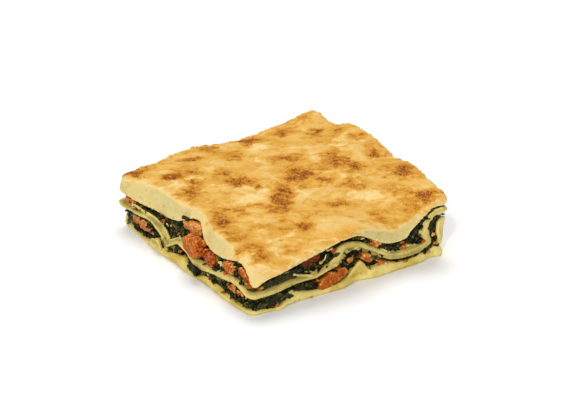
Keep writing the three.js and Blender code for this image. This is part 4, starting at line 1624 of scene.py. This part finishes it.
@dataclass
class LooseSpinach:
    """Scraps of chopped spinach all over the cut sides of one filling.

    Some of them stand upright, and they are fewer where the filling shows its creamy patches.
    """

    name: str
    count: int
    seed: int
    bare: float = 0.8
    upright: float = 0.45

    def build(self, filling: WallPlaces, ceiling: Ceiling, material: bpy.types.Material) -> None:
        """Scatters the scraps.

        Args:
            filling: Places on the cut sides of the filling.
            ceiling: Underside of the top, which the scraps stay under.
            material: The spinach material.
        """
        draws = np.random.default_rng(self.seed)
        scraps = [scrap_master(seed) for seed in range(1, 7)]
        masters = scraps + [lump_master(seed) for seed in range(11, 15)]
        heap = Heap(self.name)
        places, facing = filling.pick(self.count, draws)
        patches = soft_step(rough_lumps(places, 7.0, 3, 41), 0.55, 0.75)
        for place, normal, patch in zip(places, facing, patches):
            if draws.uniform() < patch * self.bare:
                continue
            upright = draws.uniform() < self.upright
            lean = np.array([0.0, 0.0, 1.0]) + 0.5 * normal if upright else normal
            axes = turned_axes(lean, draws, 0.6)
            length = draws.uniform(2.0, 5.0)
            size = length * np.array([1.0, draws.uniform(0.8, 1.2), draws.uniform(0.7, 1.3)])
            kind = draws.integers(len(masters))
            size *= 1.0 if kind < len(scraps) else 0.6
            out = draws.uniform(-0.7, 0.2)
            tone = 0.7 * draws.uniform() ** 3
            heap.put(masters[kind], place + out * normal, axes, size, tone)
            ceiling.press(heap.corners[-1])
        piece = heap.model()
        points = coordinates(piece)
        paint(piece, "tone", heap.tone_of_corners() + 0.25 * (rough_lumps(points, 1.2, 2, 51) - 0.5))
        hand_in(piece, material)


@dataclass
class LooseFish:
    """Crumbs of salmon that lie among the spinach."""

    name: str
    count: int
    seed: int

    def build(self, fillings: list[WallPlaces], material: bpy.types.Material) -> None:
        """Scatters small crumbs and sets the larger ones at their listed places.

        Args:
            fillings: Places on the cut sides of the fillings.
            material: The fish material.
        """
        draws = np.random.default_rng(self.seed)
        masters = [lump_master(seed) for seed in range(1, 6)]
        heap = Heap(self.name)
        for filling in fillings:
            places, facing = filling.pick(self.count, draws)
            for place, normal in zip(places, facing):
                size = draws.uniform(0.7, 2.0) * np.array([1.0, 0.8, 0.8])
                axes = turned_axes(normal, draws, 0.7)
                master = masters[draws.integers(len(masters))]
                heap.put(master, place + 0.2 * normal, axes, size, draws.uniform(0.2, 0.8))
        for index, crumb in enumerate(PLACED_CRUMBS):
            crumb.put(heap, masters[index % len(masters)])
        piece = heap.model()
        dress_fish(piece, heap.tone_of_corners() - 0.14, np.zeros(len(piece.data.vertices)), 9)
        hand_in(piece, material)


# How deep the placed crumbs are, in millimetres.
CRUMB_DEPTH = 3.0


@dataclass(frozen=True)
class PlacedCrumb:
    """One crumb at its own place on a cut side.

    Its place and lengths are in millimetres, its turn is in degrees and its tone goes from 0 to 1.
    """

    side: Side
    at: float
    out: float
    height: float
    length: float
    tall: float
    turn: float
    tone: float

    def put(self, heap: Heap, master: Master) -> None:
        """Adds the crumb to a heap."""
        frame = np.array(self.side.frame()).T
        turn = math.radians(self.turn)
        along = frame[0] * math.cos(turn) + frame[1] * math.sin(turn)
        up = frame[1] * math.cos(turn) - frame[0] * math.sin(turn)
        place = np.array(self.side.point(self.at, self.out, self.height)) / MM
        size = np.array([self.length, self.tall / CRUMB_SHAPE[1], CRUMB_DEPTH])
        heap.put(master, place, np.array([along, up, frame[2]]), size, self.tone)


# Each crumb: distance along the side, distance out of it, height, its length, how tall it is, its
# turn and its tone.
CRUMB_TABLE = {
    Side.LEFT: [
        (105.2, 1.9, 15.4, 2.0, 1.0, -20, 0.6), (101.9, 0.9, 12.8, 2.6, 1.2, -10, 0.75),
        (79.6, -1.6, 15.3, 3.5, 1.6, -25, 0.85), (60.8, 0.4, 7.5, 4.4, 1.5, -30, 0.8),
        (35.7, -0.4, 14.4, 4.0, 2.4, -10, 0.75), (33.5, 0.6, 5.4, 4.2, 2.4, -40, 0.3),
        (21.4, 1.5, 3.6, 4.0, 1.1, -20, 0.7), (2.9, -0.8, 14.0, 4.4, 1.4, -20, 0.8),
        (21.7, -0.2, 12.7, 3.4, 2.2, 10, 0.85), (20.0, -0.4, 16.7, 4.5, 1.7, -30, 0.8),
        (40.1, 0.0, 9.6, 2.9, 1.2, -30, 0.6),
    ],
    Side.FRONT: [
        (6.2, -0.6, 12.9, 2.7, 1.7, 10, 0.4), (40.0, -1.4, 15.8, 2.2, 1.0, 20, 0.8),
        (36.6, 0.7, 8.4, 1.7, 1.2, 0, 0.3), (55.9, -0.5, 12.7, 3.8, 4.2, 60, 0.72),
        (87.8, -0.8, 9.9, 3.8, 2.3, 20, 0.5), (98.3, 0.4, 10.9, 2.8, 2.3, 15, 0.25),
        (103.6, 0.9, 13.1, 2.4, 2.2, 0, 0.78), (104.6, 0.6, 7.9, 3.0, 1.9, 40, 0.55),
        (87.5, 0.3, 2.9, 4.1, 1.6, 12, 0.5), (47.2, -1.2, 20.4, 3.2, 2.1, 15, 0.25),
        (52.5, -0.4, 22.2, 2.2, 0.9, 20, 0.6), (65.2, 0.4, 12.9, 5.0, 2.5, -20, 0.7),
        (72.9, -0.6, 6.0, 5.4, 1.9, 5, 0.66), (77.4, -0.6, 5.1, 3.4, 1.4, 8, 0.76),
        (101.3, 0.6, 4.3, 2.4, 1.1, 35, 0.6), (62.8, -0.5, 22.3, 2.3, 0.8, 0, 0.7),
        (13.6, 1.0, 2.6, 1.8, 3.6, 8, 0.6), (33.0, 1.0, 0.9, 1.8, 1.0, 0, 0.5),
    ],
}

PLACED_CRUMBS = [PlacedCrumb(side, *row) for side, rows in CRUMB_TABLE.items() for row in rows]


# Distance between the balls of a strand, as a share of their radius.
BALL_SPACING = 0.75


@dataclass(frozen=True)
class Strand:
    """A soft strand on a cut side: distance along, height, distance out and radius of each point."""

    side: Side
    points: list[tuple[float, float, float, float]]

    def put(self, heap: Heap, master: Master, flatness: float) -> None:
        """Adds the strand to a heap as a row of balls.

        Args:
            heap: The heap, which is fused later.
            master: A ball one unit wide.
            flatness: How far the balls stand out, as a share of their width.
        """
        frame = np.array(self.side.frame()).T
        rows = np.array(self.points)
        for start, end in zip(rows, rows[1:] if len(rows) > 1 else rows):
            length = math.hypot(end[0] - start[0], end[1] - start[1])
            steps = max(1, math.ceil(length / (BALL_SPACING * min(start[3], end[3]))))
            for step in range(steps + 1):
                at, height, out, radius = start + (end - start) * step / steps
                place = np.array(self.side.point(at, out, height)) / MM
                size = 2 * radius * np.array([1.0, 1.0, flatness])
                heap.put(master, place, frame, size, 0.5)


# Rows of points on each side: distance along the side, height, distance out of it and radius, in
# millimetres.
PASTA_STRANDS = {
    Side.LEFT: [
        [
            (109.0, 8.0, 0.4, 0.9), (111.3, 4.8, 0.2, 1.0), (111.5, 1.6, 0.4, 1.1),
            (108.5, 0.9, 0.6, 1.0), (104.0, 0.9, 0.6, 0.9),
        ],
        [
            (104.5, 14.6, 1.0, 0.8), (100.0, 14.6, 0.6, 1.0), (95.5, 14.2, 0.2, 0.9),
            (90.0, 14.2, 0.2, 0.8), (85.5, 13.6, 0.0, 0.7),
        ],
        [
            (109.5, 13.0, 1.0, 1.1), (103.5, 14.0, 1.2, 1.4), (101.5, 12.8, -0.6, 1.6),
            (96.1, 13.3, -0.4, 1.7), (88.5, 14.3, 0.6, 1.9), (84.1, 13.5, -0.1, 2.1),
            (80.6, 11.8, -1.0, 2.4), (76.6, 10.3, -0.7, 2.4), (73.8, 8.6, -0.6, 1.9),
        ],
        [(77.4, 6.9, 0.2, 1.7), (73.6, 6.3, -0.5, 1.5), (66.7, 10.4, -0.2, 1.4), (64.2, 12.1, -1.7, 1.3)],
        [(81.9, 4.5, 3.1, 1.7), (77.5, 5.2, 3.2, 1.9), (75.5, 3.2, 3.2, 1.7)],
    ],
    Side.FRONT: [
        [
            (50.0, 12.7, -1.2, 1.2), (52.1, 15.2, -0.9, 1.3), (54.1, 17.5, -0.9, 1.4),
            (57.4, 17.9, -2.1, 1.4), (59.3, 18.8, -0.3, 1.3), (64.8, 15.2, -2.0, 1.5),
            (69.1, 12.2, -1.6, 1.6), (74.8, 9.3, -1.7, 1.6), (79.1, 8.3, 0.2, 1.7),
            (86.0, 5.9, -1.5, 1.8), (90.2, 7.0, 0.5, 1.8), (95.3, 7.3, 0.6, 1.7), (99.1, 8.8, 0.5, 1.6),
            (100.7, 11.5, 0.9, 1.5), (99.8, 14.3, 1.0, 1.1), (98.1, 16.7, 0.9, 0.9),
        ],
        [
            (96.7, 15.9, -0.4, 1.0), (98.3, 17.9, -0.7, 1.1), (99.5, 20.9, 0.1, 1.2),
            (102.1, 23.3, 0.4, 1.3), (105.0, 25.2, 0.8, 1.3), (107.5, 26.0, 1.8, 1.3),
            (110.6, 24.9, 0.9, 1.1),
        ],
    ],
}

SAUCE_STRANDS = {
    Side.LEFT: [
        [(31.2, 13.6, -2.7, 0.8), (29.3, 14.1, -2.9, 0.9), (28.8, 13.2, -2.2, 0.6)],
        [(26.7, 14.3, -2.7, 0.5), (23.5, 16.6, -2.4, 0.5)],
        [(77.7, 14.3, -2.5, 0.5), (76.8, 13.2, -2.6, 0.5)],
        [(67.3, 12.9, -2.0, 0.6), (64.8, 13.4, -1.9, 0.5)],
        [(39.5, 5.2, -0.9, 0.4), (36.0, 5.6, 0.4, 0.4), (35.7, 4.5, 0.3, 0.3)],
        [(7.2, 5.9, -0.6, 0.3)],
    ],
    Side.FRONT: [
        [
            (23.5, 15.3, 0.5, 0.6), (28.0, 12.6, -1.6, 0.8), (31.3, 11.7, -1.0, 0.8),
            (34.0, 11.4, 0.1, 0.7),
        ],
        [(31.2, 13.3, -1.9, 0.4), (34.9, 11.9, -2.9, 0.4), (36.1, 11.7, -1.4, 0.6)],
        [(44.6, 14.1, 0.5, 0.7), (46.9, 13.4, 0.6, 1.0), (50.1, 12.5, -1.2, 0.9)],
        [(42.4, 19.3, -0.8, 0.4), (41.6, 17.5, -0.6, 0.4), (41.5, 15.8, -2.1, 0.4)],
        [(44.2, 20.5, -2.3, 0.7), (46.6, 20.9, -1.9, 0.7)],
        [(21.6, 6.3, -0.4, 1.0), (23.7, 5.8, -0.8, 0.7)],
        [
            (74.2, 12.9, -0.9, 0.7), (76.2, 11.6, -0.5, 0.8), (78.4, 10.7, -0.2, 0.6),
            (81.2, 10.0, -0.8, 0.5),
        ],
        [(89.6, 10.5, -0.8, 0.9), (92.6, 10.2, -1.5, 0.8), (94.2, 9.5, -1.1, 0.6)],
        [(89.2, 2.6, -0.5, 0.4), (91.7, 3.4, -1.4, 0.4), (93.5, 4.0, -1.3, 0.4)],
        [(80.6, 4.5, -2.5, 0.4)],
        [(53.4, 15.0, -0.8, 0.4)],
        [(97.8, 15.8, 0.7, 0.4), (98.4, 14.9, 0.9, 0.4)],
    ],
}

LEAF_STRANDS = {
    Side.LEFT: [
        [(110.5, 17.2, 0.6, 0.6), (108.9, 16.7, 1.2, 0.6), (105.0, 16.6, 0.6, 0.4)],
        [(103.8, 15.5, 1.0, 0.3), (101.8, 14.6, 0.2, 0.5)],
        [
            (94.9, 15.0, -0.6, 0.7), (89.9, 15.3, -1.1, 0.6), (85.4, 15.2, -0.9, 0.7),
            (82.8, 14.7, -1.5, 0.8),
        ],
        [(66.2, 21.7, -5.2, 1.1), (63.2, 21.6, -6.0, 1.2)],
        [(78.6, 6.5, 0.8, 0.6), (76.6, 5.0, 1.2, 0.7), (75.3, 3.6, 1.6, 0.6), (74.1, 2.5, 1.0, 0.4)],
        [(71.7, 2.5, 0.8, 0.4), (65.9, 4.2, 0.0, 0.4), (60.4, 5.4, -0.5, 0.5)],
        [
            (54.0, 6.4, 0.1, 0.8), (52.0, 4.8, 0.0, 1.0), (48.8, 3.6, 0.2, 1.1), (46.8, 2.5, -0.6, 1.2),
            (43.5, 2.9, -0.7, 0.7),
        ],
        [(47.0, 5.0, 4.1, 0.4), (42.7, 5.8, 4.7, 0.7), (43.9, 2.8, 1.9, 0.8), (42.3, 3.1, 0.8, 0.6)],
    ],
    Side.FRONT: [
        [
            (8.1, 14.7, -0.3, 1.0), (11.6, 14.9, -0.5, 1.5), (15.0, 14.8, -0.1, 1.6),
            (18.1, 15.4, 0.3, 1.5), (20.6, 15.8, 0.5, 1.0), (22.4, 15.2, 0.5, 0.7),
            (24.9, 12.3, -0.7, 0.3),
        ],
        [
            (37.8, 11.9, -0.6, 0.8), (40.3, 12.6, -2.1, 1.0), (42.8, 13.7, -2.8, 0.9),
            (42.6, 13.2, 0.1, 0.8), (45.0, 10.5, -1.1, 0.6),
        ],
        [
            (43.2, 15.8, -0.8, 0.8), (45.2, 16.6, -0.9, 1.0), (46.7, 18.1, 0.2, 1.0),
            (48.3, 19.2, 0.6, 0.9),
        ],
        [(24.9, 8.1, -1.0, 0.7), (28.0, 8.2, -0.5, 0.8), (30.2, 8.3, 1.3, 0.9), (32.6, 6.4, 1.0, 0.6)],
        [
            (7.2, 7.4, -0.7, 1.0), (11.3, 7.1, -0.1, 1.2), (14.7, 7.4, 1.4, 1.1), (18.7, 6.4, 1.0, 1.0),
            (22.9, 3.8, -0.2, 1.0), (24.3, 3.1, -0.1, 0.7),
        ],
        [
            (77.4, 12.8, -0.8, 1.1), (80.9, 12.4, -0.5, 1.1), (84.9, 11.9, -0.9, 1.1),
            (88.8, 12.4, -1.0, 1.1), (91.7, 13.2, -1.2, 0.9),
        ],
        [
            (93.3, 15.0, -0.8, 0.7), (95.4, 16.8, -1.2, 0.6), (96.7, 19.8, -0.5, 0.6),
            (98.8, 22.3, -0.2, 0.5), (100.9, 24.3, 0.0, 0.5), (103.9, 25.7, -0.2, 0.4),
            (105.5, 26.7, 0.1, 0.4),
        ],
        [(105.5, 27.0, 0.2, 0.4), (109.2, 27.6, 0.2, 0.4)],
        [
            (100.7, 17.6, 1.3, 1.1), (101.5, 20.0, 1.3, 1.1), (103.3, 22.1, 1.4, 1.0),
            (105.3, 23.4, 1.8, 0.8), (109.9, 21.7, -1.1, 0.6), (111.0, 21.4, 0.0, 0.4),
        ],
        [
            (67.3, 11.6, -0.2, 0.7), (72.4, 8.7, -0.8, 0.8), (76.6, 7.1, -0.2, 0.7),
            (82.8, 3.8, -2.1, 0.6), (82.9, 3.5, -0.3, 0.4),
        ],
        [(88.1, 4.4, -1.1, 0.4), (91.7, 4.5, -0.8, 0.4), (94.6, 4.2, -1.5, 0.4)],
        [
            (98.8, 4.4, -0.8, 0.7), (100.2, 6.0, -0.2, 0.7), (101.8, 8.5, 0.7, 0.6),
            (103.0, 10.2, 0.6, 0.5), (102.3, 12.5, 0.5, 0.4),
        ],
        [(67.5, 7.2, -1.8, 0.4), (68.3, 5.1, -2.1, 0.5), (67.1, 4.9, 0.5, 0.4)],
        [(92.5, 3.1, 0.0, 0.7), (93.9, 3.6, 0.0, 0.7), (95.1, 4.0, -0.2, 0.4)],
        [(95.4, 15.5, -1.2, 0.4), (97.1, 13.9, -0.2, 0.4)],
    ],
}


def ball_master() -> Master:
    """Models the ball that strands are rows of.

    Returns:
        A ball one unit wide.
    """
    clear_selection()
    bpy.ops.mesh.primitive_ico_sphere_add(subdivisions=2, radius=0.5, location=(0, 0, 0))
    return Master.taken_from(bpy.context.object)


def strands_of(table: dict[Side, list]) -> list[Strand]:
    """Lists the strands of a table that holds rows of points for each side."""
    return [Strand(side, points) for side, rows in table.items() for points in rows]


# Strands start at most this far off the side, and between these two distances along it, in
# millimetres.
STRAND_REACH = 4.0
STRAND_SPAN = (3.0, 108.0)


def wandering_strands(places: WallPlaces, count: int, radius: float, seed: int) -> list[Strand]:
    """Draws short strands at random places of the far sides.

    Args:
        places: Places on the cut sides of a filling.
        count: Number of places that are tried.
        radius: Largest radius in millimetres.
        seed: Picks the strands.

    Returns:
        The strands.
    """
    draws = np.random.default_rng(seed)
    strands = []
    for place, _ in zip(*places.pick(count, draws)):
        for side in (Side.RIGHT, Side.BACK):
            start, along, outward = side.value
            off = place[:2] - np.array(start)
            at, out = float(off @ np.array(along)), float(off @ np.array(outward))
            if abs(out) > STRAND_REACH or not STRAND_SPAN[0] < at < STRAND_SPAN[1]:
                continue
            length = draws.uniform(2, 6)
            rise = draws.uniform(-0.35, 0.35)
            size = radius * draws.uniform(0.4, 1.0)
            rows = [
                (at + length * t, place[2] + rise * length * t, out, size * (1.1 - (2 * t - 1) ** 2))
                for t in (0.0, 0.35, 0.7, 1.0)
            ]
            strands.append(Strand(side, rows))
    return strands


def fused_strands(name: str, strands: list[Strand], flatness: float, voxel: float) -> bpy.types.Object:
    """Fuses strands into one soft piece.

    Args:
        name: Name of the piece.
        strands: The strands.
        flatness: How far they stand out, as a share of their width.
        voxel: Size of the finest shape that is kept, in millimetres.

    Returns:
        The new piece.
    """
    heap = Heap(name)
    ball = ball_master()
    for strand in strands:
        strand.put(heap, ball, flatness)
    piece = heap.model()
    remesh(piece, voxel)
    soften(piece, 0.4)
    return piece


def direction(azimuth: float, elevation: float) -> Vector:
    """Points from the food towards something round it.

    Args:
        azimuth: Where it stands round the food, in degrees, with 0 at the front and 90 at the right.
        elevation: Its height over the horizon, in degrees.

    Returns:
        The direction, of length one.
    """
    a, e = math.radians(azimuth), math.radians(elevation)
    return Vector((math.sin(a) * math.cos(e), -math.cos(a) * math.cos(e), math.sin(e)))


@dataclass(frozen=True)
class SoftLight:
    """A far soft light: where it stands and how wide it looks in degrees, and its power."""

    name: str
    azimuth: float
    elevation: float
    spread: float
    power: float

    def build(self) -> None:
        """Adds the light, which reaches the whole floor evenly."""
        towards = direction(self.azimuth, self.elevation)
        bpy.ops.object.light_add(type="SUN", location=towards)
        light = bpy.context.object
        light.name = self.name
        light.data.angle = math.radians(self.spread)
        light.data.energy = self.power
        light.rotation_mode = "QUATERNION"
        light.rotation_quaternion = (-towards).to_track_quat("-Z", "Y")


LIGHTS = (
    SoftLight("key", azimuth=150.0, elevation=62.0, spread=40.0, power=1.75),
    SoftLight("fill", azimuth=-54.0, elevation=30.0, spread=60.0, power=0.9),
    SoftLight("glint", azimuth=-48.0, elevation=44.0, spread=4.0, power=0.7),
)


@dataclass
class Studio:
    """Plain pale floor, soft lights and the camera of the photograph, in metres."""

    floor_size: float = 6.0
    floor_depth: float = 0.0001
    floor_white: float = 0.93
    world_strength: float = 0.38

    def build(self) -> None:
        """Builds the camera, the lights and the floor."""
        self.build_camera()
        self.build_world()
        for light in LIGHTS:
            light.build()
        self.build_floor()

    def build_camera(self) -> None:
        """Sets the camera where the photograph was taken from."""
        back = direction(VIEW_AZIMUTH, VIEW_ELEVATION)
        clear_selection()
        bpy.ops.object.camera_add(location=(Vector(VIEW_AIM) + back * VIEW_DISTANCE) * MM)
        camera = bpy.context.object
        camera.name = "camera"
        camera.rotation_mode = "QUATERNION"
        camera.rotation_quaternion = (-back).to_track_quat("-Z", "Y")
        camera.data.lens = VIEW_LENS
        camera.data.sensor_width = SENSOR_WIDTH
        camera.data.clip_start = 0.01
        bpy.context.scene.camera = camera

    def build_world(self) -> None:
        """Sets the even white surroundings."""
        world = bpy.data.worlds.new("studio")
        world.use_nodes = True
        background = world.node_tree.nodes["Background"]
        background.inputs["Color"].default_value = (1.0, 1.0, 1.0, 1.0)
        background.inputs["Strength"].default_value = self.world_strength
        bpy.context.scene.world = world
        bpy.context.scene.view_settings.view_transform = "Standard"

    def build_floor(self) -> None:
        """Lays the pale floor."""
        clear_selection()
        bpy.ops.mesh.primitive_plane_add(size=self.floor_size, location=(0.0, 0.0, -self.floor_depth))
        floor = bpy.context.object
        floor.name = "floor"
        material = bpy.data.materials.new("floor_white")
        material.use_nodes = True
        surface = material.node_tree.nodes["Principled BSDF"]
        surface.inputs["Base Color"].default_value = (*[self.floor_white] * 3, 1.0)
        surface.inputs["Roughness"].default_value = 0.9
        surface.inputs["Specular IOR Level"].default_value = 0.1
        floor.data.materials.append(material)


def lay_strands(fillings: list[WallPlaces], pasta: bpy.types.Material, leaf: bpy.types.Material) -> None:
    """Lays the folds of pasta, the dabs of sauce and the curled leaves on the cut sides.

    Args:
        fillings: Places on the cut sides of the fillings.
        pasta: The material of pasta and sauce.
        leaf: The material of wet leaves.
    """
    sauces, leaves = strands_of(SAUCE_STRANDS), strands_of(LEAF_STRANDS)
    for index, places in enumerate(fillings):
        sauces += wandering_strands(places, count=24, radius=0.8, seed=70 + index)
        leaves += wandering_strands(places, count=60, radius=1.0, seed=80 + index)
    folds = fused_strands("pasta_folds", strands_of(PASTA_STRANDS), flatness=0.55, voxel=0.35)
    dress_pasta(folds, 0.25)
    hand_in(folds, pasta)
    dabs = fused_strands("sauce_dabs", sauces, flatness=0.8, voxel=0.3)
    Relief(Pattern.CLOUDS, 1.4, 0.5).press(dabs)
    dress_pasta(dabs, 0.0)
    hand_in(dabs, pasta)
    curls = fused_strands("leaf_curls", leaves, flatness=0.8, voxel=0.3)
    Relief(Pattern.CLOUDS, 1.6, 1.1).press(curls)
    dress_spinach(curls, 0.06, 0.1)
    hand_in(curls, leaf)


def main() -> None:
    """Builds the dressed portion and its studio."""
    logging.basicConfig(level=logging.INFO, format="%(message)s")
    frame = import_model()
    Studio().build()
    groups = SharedGroups()
    crust = SauceCrust("sauce_crust", roughness=0.5, specular=0.06, scatter=0.1).build(groups)
    pasta_film = {"roughness": 0.36, "specular": 0.1, "scatter": 0.12}
    pasta = PastaSheet("pasta_sheet", **pasta_film).build(groups)
    # The base sheet's lighter copy of the pasta material: painted light.
    base_pasta_painted_light = PastaSheet("sauced_sheet", **pasta_film, pale=BASE_PALE_PAINTED_LIGHT, deep=BASE_DEEP_PAINTED_LIGHT).build(groups)
    green = {"scatter": 0.0, "gloss": GREEN_GLOSS}
    spinach = SpinachMass("spinach_mass", roughness=0.24, specular=0.2, **green).build(groups)
    leaf = SpinachMass("wet_leaf", roughness=0.15, specular=0.3, **green).build(groups)
    warm = {"scatter": 0.06, "gloss": WARM_GLOSS}
    fish = CookedFish("cooked_fish", roughness=0.22, specular=0.2, **warm).build(groups)
    base = Sheet("base_sheet", voxel=0.565, smoothing=0.25, shade=0.08, left_shade=0.35, foot=1.5)
    middle = Sheet("middle_sheet", voxel=0.585, smoothing=0.2, shade=0.05, left_shade=-0.1)
    base.build(frame, base_pasta_painted_light)
    lower = Filling("lower_filling", voxel=0.6, smoothing=0.5).build(frame, spinach)
    middle.build(frame, pasta)
    upper = Filling("upper_filling", voxel=0.6, smoothing=0.5).build(frame, spinach)
    top = TopSheet("top_sheet", voxel=0.595, smoothing=0.3).build(frame, crust)
    names = sorted(frame["nodes"])
    for seed, node in enumerate(n for n in names if n.startswith("salmon")):
        roughly = SMOOTH_SHARE if node in SMOOTH_FISH else 1.0
        FishPiece(node, FISH_TONES.get(node, OTHER_FISH_TONE), roughly).build(frame, fish, seed)
    for node in (n for n in names if n.startswith("leaf")):
        LeafPiece(node).build(frame, leaf)
    fillings = [WallPlaces.of(lower), WallPlaces.of(upper)]
    lay_strands(fillings, pasta, leaf)
    ceiling = Ceiling.of(top)
    LooseSpinach("lower_scraps", count=1300, seed=5).build(fillings[0], ceiling, leaf)
    LooseSpinach("upper_scraps", count=1300, seed=6).build(fillings[1], ceiling, leaf)
    LooseFish("fish_crumbs", count=60, seed=7).build(fillings, fish)


if __name__ == "__main__":
    main()
